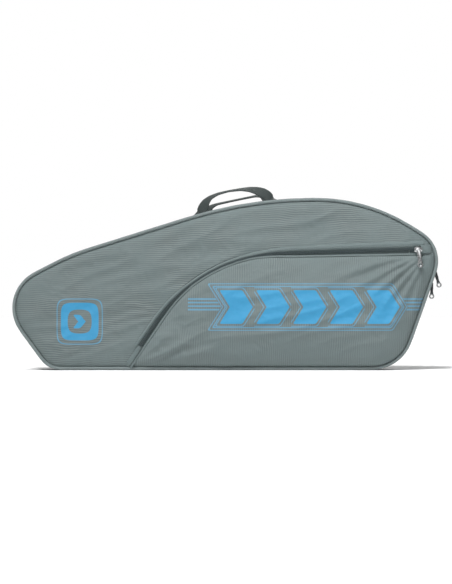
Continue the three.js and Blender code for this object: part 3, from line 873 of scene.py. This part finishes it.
# The section of a gusset strip in millimetres: depth from the middle plane, inset from the outline.
GUSSET_PROFILE = [(31.8, 4.9), (29.6, 3.5), (24, 3.1), (15, 3.0), (8, 3.6), (5.2, 4.6), (4.6, 5.6),
                  (5.4, 6.3), (9, 6.0), (16, 5.8), (24, 6.2), (30, 7.2)]
# Places across the bottom strip, in millimetres from its middle.
BOTTOM_ROWS = np.array([-31.5, -29, -24.5, -20, -15, -10, -5, 0, 10, 20, 29, 31.5])


WEB_TILT = math.radians(30)
ZIP_FOOT = 31 * MM
HALF_DEPTH = 31.5 * MM


def web(side):
    """The two shells, and a span below the main zip's ends over which cloth would give way between them as
    the bag opens.
    """
    middle = -side * ZIP_FOOT * math.sin(WEB_TILT)
    reach = HALF_DEPTH * math.cos(WEB_TILT) - abs(middle)
    way = Vector((0, -math.cos(WEB_TILT), -side * math.sin(WEB_TILT)))
    return "back_shell", "front_shell", way * (middle - reach), way * (middle + reach)


def gussets():
    """The strips between the piping and the main zip."""
    stations = np.arange(ZIP_START - 3 * MM, ZIP_END + 3 * MM, 2.6 * MM)
    centres, outwards = edge_frames(stations, 0)
    for side, prefix in SIDES:
        ripple = noise_row(stations / (22 * MM), side, 51)
        fine = noise_row(stations / (8 * MM), side, 52)
        profile = np.array([(y * MM, -inset * MM) for y, inset in GUSSET_PROFILE])
        profile = np.repeat(profile[None], len(stations), axis=0)
        profile[:, 1:5, 1] += (0.45 * MM * ripple + 0.2 * MM * fine)[:, None]
        strip = sweep(f"{prefix}_gusset_cloth", centres, OUT[side], outwards, profile)
        dress(shade(strip, 75), "gusset", "gusset_cloth", None, [f"{prefix}_gusset"], pad=0.3)
        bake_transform(strip)


def bottom_gusset():
    """The strip under the bag, from one end of the main zip to the other."""
    stations = np.arange(ZIP_END - 1 * MM, outline.length + ZIP_START + 1 * MM, 3 * MM)
    centres, outwards = edge_frames(stations, 0)
    ripple = noise_row(stations / (26 * MM), 0, 57)[:, None]
    lying = np.clip(centres[:, 2] / (10 * MM), 0, 1)[:, None]
    under = 0.3 + 3.3 * lying + 0.5 * (np.abs(BOTTOM_ROWS) > 30)
    under = under + (0.25 + 0.25 * ripple * lying) * (np.abs(BOTTOM_ROWS) < 28) * lying
    outer = np.stack([np.broadcast_to(BOTTOM_ROWS, under.shape), -under], axis=2)
    inner = outer[:, ::-1] - np.array([0, 2.4])
    profile = np.concatenate([outer, inner], axis=1) * MM
    strip = sweep("bottom_gusset_cloth", centres, OUT[BACK], outwards, profile)
    dress(shade(strip, 75), "gusset", "gusset_cloth", None, ["bottom_gusset"], pad=0.3)
    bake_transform(strip)


def bottom_film():
    """The silver film that lies on the bottom, as one piece over the bottom lining's box."""
    low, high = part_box("bottom_lining")
    x = np.linspace(low.x, high.x, 60)
    centres = np.column_stack([x, x * 0, np.full(60, low.z)])
    rows = np.linspace(low.y, high.y, 21)
    upper = np.column_stack([rows, np.full(21, high.z - low.z)])
    profile = np.concatenate([upper, np.column_stack([rows[::-1], rows * 0])])
    film = sweep("bottom_film", centres, OUT[BACK], np.array([0, 0, 1]), profile)
    dress(shade(film, 75), "lining", "lining", None, ["bottom_lining"])
    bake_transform(film)


# ---- small repeated pieces ----


def repeated(name, points, faces, centres, *ways):
    """Copies of a small closed piece as one mesh. ways are the three directions of each copy."""
    spots = centres[:, None]
    for k, way in enumerate(ways):
        spots = spots + np.broadcast_to(way, centres.shape)[:, None] * points[None, :, k : k + 1]
    size = len(points)
    all_faces = [tuple(k * size + i for i in face) for k in range(len(centres)) for face in faces]
    corner_uv = np.zeros((sum(len(face) for face in all_faces), 2))
    return mesh_object(name, spots.reshape(-1, 3), all_faces, corner_uv)


def bead(stops, sides=6):
    """A small closed body through rings of (place along +X, half width, half height), in millimetres."""
    turns = round_profile(1, sides)
    points = [(place, wide * y, high * z) for place, wide, high in stops for y, z in turns]
    faces = []
    for first in range(0, len(points) - sides, sides):
        for k in range(sides):
            n = (k + 1) % sides
            faces.append((first + k, first + n, first + n + sides, first + k + sides))
    faces.append(tuple(range(sides - 1, -1, -1)))
    faces.append(tuple(range(len(points) - sides, len(points))))
    return np.array(points) * MM, faces


STITCH = [(-1.55, 0.1, 0.1), (-1.085, 0.33, 0.3), (1.085, 0.33, 0.3), (1.55, 0.1, 0.1)]


def stitch_row(name, centres, along, up, body, blend=None):
    """A row of stitches. Each lies flat on the cloth and dips at both ends."""
    row = repeated(name, *bead(STITCH), centres, along, np.cross(up, along), up)
    dress(shade(row, 80), "thread", "shell_cloth", body)
    if blend:
        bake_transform(row)


TOOTH = [(-0.5, 0.3, 0.35), (-0.2, 0.62, 0.72), (0.9, 0.5, 0.62), (2.2, 0.56, 0.66), (2.7, 0.3, 0.4)]


def teeth(name, centres, along, inwards, up, first, body):
    """One half of a coil. Each tooth reaches from its own tape across the middle line."""
    points, faces = bead(TOOTH)
    faces = [tuple(reversed(face)) for face in faces]
    ways = [np.broadcast_to(way, centres.shape)[first::2] for way in (along, inwards, up)]
    row = repeated(name, points[:, [1, 0, 2]], faces, centres[first::2], *ways)
    return dress(shade(row, 80), "coil", "zip_coil", body)


# ---- zips ----

TAPE_INSET = 5.7 * MM
TEETH_INSET = 4.3 * MM
STITCH_INSET = 3.0 * MM
STITCH_DEPTH = 8.6 * MM
POCKET_TAPE_RISE = 0.2 * MM
POCKET_TEETH_RISE = 1.7 * MM
HEM_STITCH_RISE = 2.45 * MM
MAIN_TAPE = soft_strip(6.2 * MM, 0.8 * MM, 0.5 * MM)
POCKET_TAPE = soft_strip(6.6 * MM, 0.8 * MM, 0.4 * MM)


def main_zip():
    """The zip round the bag: tapes, coils and the stitching beside them."""
    stations = np.arange(ZIP_START, ZIP_END, TOOTH_PITCH / 2)
    coarse = np.arange(ZIP_START - 4 * MM, ZIP_END + 4 * MM, 3 * MM)
    seats = np.arange(ZIP_START + 3 * MM, ZIP_END - 3 * MM, STITCH_PITCH)
    for side, prefix in SIDES:
        centres, outwards = edge_frames(coarse, 0, TAPE_INSET)
        tape = sweep(f"{prefix}_zip_tape_strip", centres, OUT[side], outwards, MAIN_TAPE)
        dress(shade(tape), "tape", "zip_tape", None, [f"{prefix}_zip_tape"])
        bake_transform(tape)
        centres, outwards = edge_frames(stations, 0, TEETH_INSET)
        along = np.cross(OUT[side], outwards)
        row = teeth(f"{prefix}_zip_teeth", centres, along, OUT[side], outwards, (side + 1) // 2, None)
        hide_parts(f"{prefix}_zip_coil")
        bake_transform(row)
        centres, outwards = edge_frames(seats, side * STITCH_DEPTH, STITCH_INSET)
        along = np.cross(OUT[side], outwards)
        stitch_row(f"{prefix}_zip_stitches", centres, along, outwards, None, web(side))


TAB_ARCH = [(-8, -0.6), (-5, 0.6), (0, 1.1), (5, 0.6), (8, -0.6), (5, -0.6), (0, -0.2), (-5, -0.6)]


def end_tabs():
    """The short cloth tabs over both ends of the main zip."""
    past, over = 13 * MM, 0.6 * MM
    spans = {"right": (ZIP_START - past, ZIP_START + over), "left": (ZIP_END - over, ZIP_END + past)}
    for name, span in spans.items():
        centres, outwards = edge_frames(np.linspace(*span, 14), 0, 4.4 * MM)
        tab = sweep(f"zip_end_tab_{name}_cloth", centres, OUT[BACK], outwards, np.array(TAB_ARCH) * MM)
        dress(shade(tab, 70), "edge", "gusset_cloth", None, [f"zip_end_tab_{name}"])
        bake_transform(tab)


def pocket_stations(name):
    """The first and last station of a CAD node along the pocket zip."""
    stations = pocket_zip.nearest(flat_points(name))[1]
    return stations.min(), stations.max()


TEETH_FROM, TEETH_TO = pocket_stations("pocket_zip_coil_upper")
LIP_FROM, LIP_TO = pocket_stations("pocket_zip_coil_lower")
LEFT_TAB = pocket_stations("pocket_tab_left")
RIGHT_TAB = pocket_stations("pocket_tab_right")
WELT_FROM = pocket_stations("pocket_zip_welt")[0]


def zip_frames(stations, rise, offset=0.0):
    """(centres, directions, upper-side vectors) on the pocket zip, a rise above the front cloth."""
    flat, along, normal = pocket_zip.at(stations)
    spots = flat - normal * np.broadcast_to(offset, len(flat))[:, None]
    return lifted(spots, -(front_level(flat) + rise)), lifted(along, 0), lifted(-normal, 0)


def pocket_zip_half(suffix, start, end, up, body):
    """The tape and coil of one half, over one stretch of the pocket zip."""
    centres, _, upper = zip_frames(np.arange(start, end, 3 * MM), POCKET_TAPE_RISE)
    tape = sweep(f"pocket_tape_{suffix}", centres, up * upper, OUT[FRONT], POCKET_TAPE)
    dress(shade(tape), "tape", "zip_tape", body, [f"pocket_zip_tape_{suffix}"])
    centres, along, upper = zip_frames(np.arange(start, end, TOOTH_PITCH / 2), POCKET_TEETH_RISE)
    row = teeth(f"pocket_teeth_{suffix}", centres, along, up * upper, OUT[FRONT], (up + 1) // 2, body)
    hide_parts(f"pocket_zip_coil_{suffix}")


def hem_strip(name, stations, column, up, shape, widths):
    """A folded hem beside the pocket zip. shape lists (share of the width, height in millimetres)."""
    centres, _, upper = zip_frames(stations, 0.0)
    wave = 0.2 * MM * noise_row(stations / (14 * MM), 0, 60 + up)
    edge = hem_gap(pocket_zip.at(stations)[0], column) + wave
    profile = [np.column_stack([edge + share * widths, edge * 0 + high * MM]) for share, high in shape]
    return shade(sweep(name, centres, up * upper, OUT[FRONT], np.stack(profile, axis=1)), 75)


WELT_SHAPE = [(0.0, 0.5), (0.02, 1.3), (0.3, 2.2), (0.55, 2.7), (0.8, 2.3), (0.93, 0.9), (1.0, -0.2),
              (0.5, -0.4)]
HEM_SHAPE = [(0.0, 0.6), (0.04, 1.7), (0.25, 2.4), (0.7, 2.4), (0.96, 1.6), (1.0, 0.2), (0.5, -0.2)]
# The welt's width along the bag: places, then widths, in metres.
WELT_WIDTHS = np.array([(-150, -20, 60, 200, 360), (5.5, 5.5, 7.0, 10.0, 11.5)]) * MM


def pocket_hems():
    """The folded hem of the main cloth above the zip, and the pocket's own hem below it."""
    stations = np.arange(LEFT_TAB[1] - 4 * MM, RIGHT_TAB[0] + 6 * MM, 2.4 * MM)
    widths = np.interp(pocket_zip.at(stations)[0][:, 0], *WELT_WIDTHS)
    upper = hem_strip("pocket_zip_flap", stations, 1, 1, WELT_SHAPE, widths)
    dress(upper, "edge", "shell_cloth", "front_shell", ["pocket_zip_welt"], pad=0.3)
    stations = np.arange(LEFT_TAB[0] - 2 * MM, RIGHT_TAB[0] + 6 * MM, 2.4 * MM)
    lower = hem_strip("pocket_zip_hem", stations, 2, -1, HEM_SHAPE, HEM_WIDTH)
    dress(lower, "edge", "shell_cloth", pad=0.3)
    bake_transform(lower)
    seats = np.arange(LEFT_TAB[1] + 3 * MM, RIGHT_TAB[0] - 2 * MM, STITCH_PITCH)
    for name, column, side, beside, bend in (
        ("pocket_flap_stitches", 1, 1, 3.4 * MM, ("front_shell", None)),
        ("pocket_hem_stitches", 2, -1, 2.6 * MM, (None, LIP_BEND)),
    ):
        offset = side * (hem_gap(pocket_zip.at(seats)[0], column) + beside)
        centres, along, _ = zip_frames(seats, HEM_STITCH_RISE, offset)
        stitch_row(name, centres, along, OUT[FRONT], *bend)


def pocket_tabs():
    """The fabric tabs over both ends of the pocket zip."""
    for name, start, end, low, width in (
        ("left", LEFT_TAB[0] - 3 * MM, LEFT_TAB[1], -3.8 * MM, 7.8 * MM),
        ("right", RIGHT_TAB[0], RIGHT_TAB[1] + 4 * MM, -6.0 * MM, 13.5 * MM),
    ):
        stations = np.arange(start, end, 2 * MM)
        centres, _, upper = zip_frames(stations, 1.4 * MM)
        inwards = np.maximum(-seam.nearest(pocket_zip.at(stations)[0])[0], 0)
        centres[:, 1] += 1.2 * MM * fading(inwards, 5)
        profile = soft_strip(width, 1.5 * MM, low)
        tab = sweep(f"pocket_tab_{name}_cloth", centres, upper, OUT[FRONT], profile)
        dress(shade(tab, 70), "edge", "piping", "front_shell", [f"pocket_tab_{name}"])


# ---- sliders and pulls ----

CROWN = 5.2 * MM


def prism(outline_points, low, high, bevel):
    """A flat plate, z from low to high, in a slider's own frame. bevel rounds its rims."""
    obj = new_object("prism", bpy.data.meshes.new("prism"))
    with reshaped(obj.data) as work:
        face = work.faces.new([work.verts.new((x, y, low)) for x, y in outline_points])
        moved = bmesh.ops.extrude_face_region(work, geom=[face])
        top = [v for v in moved["geom"] if isinstance(v, bmesh.types.BMVert)]
        bmesh.ops.translate(work, verts=top, vec=(0, 0, high - low))
        bmesh.ops.recalc_face_normals(work, faces=work.faces)
        if bevel:
            rims = [e for e in work.edges if abs(e.verts[0].co.z - e.verts[1].co.z) < 1e-7]
            bmesh.ops.bevel(work, geom=rims, offset=bevel, segments=2, profile=0.5, affect="EDGES")
    return obj


def slider_shape(length, width):
    """A slider's plate, its side flanges and the bridge over them."""
    half, wide = length / 2, width / 2
    waist = 0.72 * wide
    rim = [(-half, waist), (-half * 0.55, wide), (half * 0.25, wide), (half, waist * 0.9)]
    shape = [(x, -y) for x, y in rim] + rim[::-1]
    parts = [prism(shape, 0.5 * MM, 2.0 * MM, 0.45 * MM)]
    for side in (-1, 1):
        low, high = sorted((side * (wide - 1.1 * MM), side * wide))
        flange = [(-half * 0.5, low), (half * 0.2, low), (half * 0.2, high), (-half * 0.5, high)]
        parts.append(prism(flange, -1.2 * MM, 0.9 * MM, 0.2 * MM))
    turns = np.pi * np.arange(15) / 14
    rise = 1.8 * MM + 4.3 * MM * np.maximum(np.sin(turns), 0) ** 0.6
    arch = np.column_stack([-0.42 * length * np.cos(turns), turns * 0, rise])
    upright = np.cross(unit(np.gradient(arch, axis=0)), OUT[BACK])
    parts.append(sweep("bridge", arch, OUT[BACK], upright, round_profile(1.5 * MM, 12, 0.5)))
    return joined("slider", parts)


def apply_modifier(obj, modifier):
    bpy.context.view_layer.objects.active = obj
    bpy.ops.object.modifier_apply(modifier=modifier.name)


def pull_shape(length, ring, hole, neck, eye, thickness):
    """A flat pull with a ring at its foot. Its eye is at the origin and it hangs along -Y."""
    foot = -(length - ring)
    neck_side = [(neck / 2, foot * 0.35), (neck * 0.42, foot * 0.62)]
    head = np.linspace(-0.3, math.pi + 0.3, 13)
    toe = np.linspace(math.pi - 0.75, 2 * math.pi + 0.75, 21)
    points = [(eye * math.cos(a), eye * math.sin(a)) for a in head]
    points += [(-x, y) for x, y in neck_side]
    points += [(ring * math.cos(a), foot + ring * math.sin(a)) for a in toe]
    points += neck_side[::-1]
    plate = prism(points, -thickness / 2, thickness / 2, 0)
    for place, radius in ((0, 1.25 * MM), (foot, hole)):
        bpy.ops.mesh.primitive_cylinder_add(vertices=28, radius=radius, depth=4 * thickness)
        drill = bpy.context.object
        drill.location.y = place
        cut = plate.modifiers.new("hole", "BOOLEAN")
        cut.operation = "DIFFERENCE"
        cut.solver = "EXACT"
        cut.object = drill
        apply_modifier(plate, cut)
        bpy.data.objects.remove(drill)
    edge = plate.modifiers.new("edge", "BEVEL")
    edge.width = 0.28 * MM
    edge.segments = 2
    edge.limit_method = "ANGLE"
    edge.angle_limit = math.radians(50)
    apply_modifier(plate, edge)
    return plate


def placed(obj, name, ways, origin):
    """Moves a shape from its own frame to the bag's."""
    turn = Matrix(ways).transposed().to_4x4()
    turn.translation = origin
    obj.data.transform(turn)
    obj.name = name
    obj.data.name = name
    return obj


def ring_rim(name, foot, ways, origin):
    """A bright ring round the hole in a pull's foot."""
    turns = np.arange(28) * 2 * math.pi / 28
    outwards = np.column_stack([np.cos(turns), np.sin(turns), turns * 0])
    circle = RING_RADIUS * outwards + np.array([0, foot, 0])
    rim = sweep(name, circle, outwards, np.array([0, 0, 1]), round_profile(RING_WIRE, 10), True)
    return placed(rim, name, ways, origin)


MAIN_SLIDER = (11.5 * MM, 8.6 * MM)
POCKET_SLIDER = (14 * MM, 9.6 * MM)
RING_RADIUS = 3.4 * MM
RING_WIRE = 1.2 * MM
POCKET_PULL_LEAN = math.radians(-10)
POCKET_PULL_TURN = math.radians(4)
MAIN_PULL = {"length": 27 * MM, "ring": 4.5 * MM, "hole": 2.6 * MM, "neck": 5.4 * MM, "eye": 2.8 * MM,
             "thickness": 1.8 * MM}
POCKET_PULL = {"length": 32 * MM, "ring": 5.0 * MM, "hole": 2.3 * MM, "neck": 7.2 * MM, "eye": 2.8 * MM,
               "thickness": 1.8 * MM}


def slider_and_pull(prefix, eye, body_ways, size, pull_ways, pull_size, looks):
    """A slider under an eye, and the pull that hangs from it."""
    body = placed(slider_shape(*size), f"{prefix}_slider_body", body_ways, eye - body_ways[2] * CROWN)
    dress(shade(body, 40), *looks, f"{prefix}_slider", [f"{prefix}_slider"])
    pull = placed(pull_shape(**pull_size), f"{prefix}_pull_plate", pull_ways, eye)
    dress(shade(pull, 35), *looks, f"{prefix}_pull", [f"{prefix}_pull"])


def main_slider(prefix, lean):
    """One slider of the main zip with its pull, which hangs beside the edge of the bag."""
    eye = Vector(JOINTS[f"{prefix}_pull_swing"]["pos_m"])
    _, _, normal = outline.at([outline.station(eye.x, eye.z)])
    out = Vector((normal[0][0], 0, normal[0][1]))
    across = Vector((0, 1, 0))
    turn = Matrix.Rotation(lean, 3, "Y")
    ways = [turn @ Vector(way) for way in ((1, 0, 0), (0, 0, 1), (0, -1, 0))]
    looks = ("gunmetal", "dark_metal")
    slider_and_pull(prefix, eye, (across.cross(out), across, out), MAIN_SLIDER, ways, MAIN_PULL, looks)
    foot = MAIN_PULL["ring"] - MAIN_PULL["length"]
    rim = ring_rim(f"{prefix}_pull_ring", foot, ways, eye)
    dress(shade(rim, 80), "silver", "bright_metal", f"{prefix}_pull")


def pocket_slider():
    """The pocket's silver slider and pull."""
    joint = JOINTS["pocket_pull_swing"]
    along = -Vector(joint["axis"]).normalized()
    out = Vector((0, -1, 0))
    body_ways = (along, out.cross(along), out)
    turn = Matrix.Rotation(POCKET_PULL_LEAN, 3, along) @ Matrix.Rotation(POCKET_PULL_TURN, 3, out)
    ways = [turn @ way for way in body_ways]
    looks = ("silver", "bright_metal")
    slider_and_pull("pocket", Vector(joint["pos_m"]), body_ways, POCKET_SLIDER, ways, POCKET_PULL, looks)


# ---- hand loops ----

LOOP_DEPTH = 18.0
ROLL_WEIGHT = 0.4
WEBBING_WIDTH = 20 * MM
WEBBING_THICKNESS = 2.2 * MM
# Rows of (x, z, roll in degrees), in millimetres: a strap turns its face to the front where roll is large.
FRONT_STRAP = [(-68, 266.5, 0), (-56, 270, 6), (-45, 275, 46), (-40.5, 284, 68), (-36, 294, 44),
               (-28, 302.5, 22), (-15, 309, 12), (4, 314, 8), (26, 317, 13), (42, 317, 28), (54, 314.8, 44),
               (65, 311.5, 58), (73.5, 305.5, 66), (78, 300.5, 48), (84, 297.8, 18), (92, 297.4, 3),
               (104, 298, 0)]
REAR_STRAP = [(-48, 272.5, 0), (-38, 277, 8), (-31, 282, 40), (-27, 287.5, 24), (-17, 292.5, 10),
              (8, 298, 8), (32, 303, 8), (52, 307, 9), (62, 308, 20), (68, 305, 42), (71, 300, 30),
              (78, 297, 8), (88, 296.8, 2), (96, 297.2, 0)]


def hand_loop(prefix, rows, side, slack):
    """A webbing strap, sewn down at both ends, with the webbing's own thickness."""
    rows = np.array(rows, float)
    line = smoothed(rows * (1, 1, ROLL_WEIGHT), 3.2, 1.0, False)
    roll = np.radians(line[:, 2] / ROLL_WEIGHT)[:, None]
    sway = slack * np.sin(np.linspace(0, math.pi, len(line))) ** 2
    centres = np.column_stack([line[:, 0], side * (LOOP_DEPTH + sway), line[:, 1]]) * MM
    ahead = unit(np.gradient(centres, axis=0))
    up = np.cross(ahead, OUT[BACK])
    up = up * np.sign(up[:, 2:3])
    across = OUT[BACK] * np.cos(roll) + up * np.sin(roll)
    face = np.cross(ahead, across)
    profile = soft_strip(WEBBING_WIDTH, WEBBING_THICKNESS, -WEBBING_WIDTH / 2)
    profile[:, 1] -= WEBBING_THICKNESS / 2
    strap = sweep(f"{prefix}_loop_strap", centres, across, face, profile)
    nodes = [f"{prefix}_loop", f"{prefix}_loop_anchor_left", f"{prefix}_loop_anchor_right"]
    dress(shade(strap, 75), "webbing", "webbing", replaces=nodes)
    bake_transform(strap)


# ---- camera, lights and floor ----

CAMERA_DISTANCE = 3.6
FRAME_WIDTH = 0.792
SENSOR_WIDTH = 36
CAMERA_HEIGHT = 0.1367


def add_camera():
    """A camera straight in front of the bag. Its frame is FRAME_WIDTH wide at the front piping."""
    camera = new_object("camera", bpy.data.cameras.new("camera"))
    camera.location = (0, -PIPE_Y - CAMERA_DISTANCE, CAMERA_HEIGHT)
    camera.rotation_euler = (math.pi / 2, 0, 0)
    camera.data.sensor_fit = "HORIZONTAL"
    camera.data.sensor_width = SENSOR_WIDTH
    camera.data.lens = SENSOR_WIDTH * CAMERA_DISTANCE / FRAME_WIDTH
    bpy.context.scene.camera = camera


def add_light(name, kind, power, place, target=(0, 0, 0)):
    """A light at a place that shines at a target."""
    lamp = new_object(name, bpy.data.lights.new(name, kind))
    lamp.data.energy = power
    lamp.location = place
    lamp.rotation_euler = (Vector(target) - Vector(place)).to_track_quat("-Z", "Y").to_euler()
    return lamp


FILL = 0.22
KEY = 2.8
BACK_LIGHT = 0.9
TOP_LIGHT = 3.2


def soft_sun(name, power, place, spread):
    """Even light from one side, with soft shadows."""
    add_light(name, "SUN", power, place).data.angle = math.radians(spread)


def surrounding():
    """A world that is bright white to the camera and dim to everything else."""
    world = bpy.data.worlds.new("surrounding")
    world.use_nodes = True
    tree = world.node_tree
    tree.nodes.clear()
    rays = tree.nodes.new("ShaderNodeLightPath")
    either = tree.nodes.new("ShaderNodeMixShader")
    output = tree.nodes.new("ShaderNodeOutputWorld")
    tree.links.new(rays.outputs["Is Camera Ray"], either.inputs[0])
    for slot, strength in ((1, FILL), (2, 1.0)):
        glow = tree.nodes.new("ShaderNodeBackground")
        glow.inputs["Color"].default_value = (1, 1, 1, 1)
        glow.inputs["Strength"].default_value = strength
        tree.links.new(glow.outputs[0], either.inputs[slot])
    tree.links.new(either.outputs[0], output.inputs["Surface"])
    return world


def add_studio():
    """A white sweep, soft light from above and in front, and a white surrounding."""
    bpy.ops.mesh.primitive_plane_add(size=14, location=(0, 0, -0.4 * MM))
    floor = bpy.context.object
    floor.name = "floor"
    floor.data.materials.append(Nodes("floor_paper").finish(srgb(255, 255, 255), 0.9))
    bpy.context.scene.world = surrounding()
    soft_sun("key", KEY, (-0.5, -0.95, 1.75), 16)
    soft_sun("back", BACK_LIGHT, (0.5, 1.1, 0.9), 40)
    top = add_light("top", "AREA", TOP_LIGHT, (0.12, -0.5, 0.85), (0.05, 0, 0.2))
    top.data.shape = "DISK"
    top.data.size = 0.7
    top.visible_camera = False
    bpy.context.scene.view_settings.view_transform = "Standard"


# ---- the whole bag ----

front_and_back_cloth()
inner_layers()
pocket_cloth()
pipings()
gussets()
bottom_gusset()
bottom_film()
main_zip()
end_tabs()
pocket_zip_half("upper", TEETH_FROM, TEETH_TO, 1, "front_shell")
pocket_zip_half("lower", LIP_FROM, LIP_TO, -1, "pocket_lip")
pocket_zip_half("lower_end", LIP_TO, TEETH_TO, -1, "front_shell")
pocket_hems()
pocket_tabs()
main_slider("upper", math.radians(-16))
main_slider("lower", 0)
pocket_slider()
hand_loop("front", FRONT_STRAP, FRONT, 2.0)
hand_loop("rear", REAR_STRAP, BACK, 1.0)
add_studio()
add_camera()
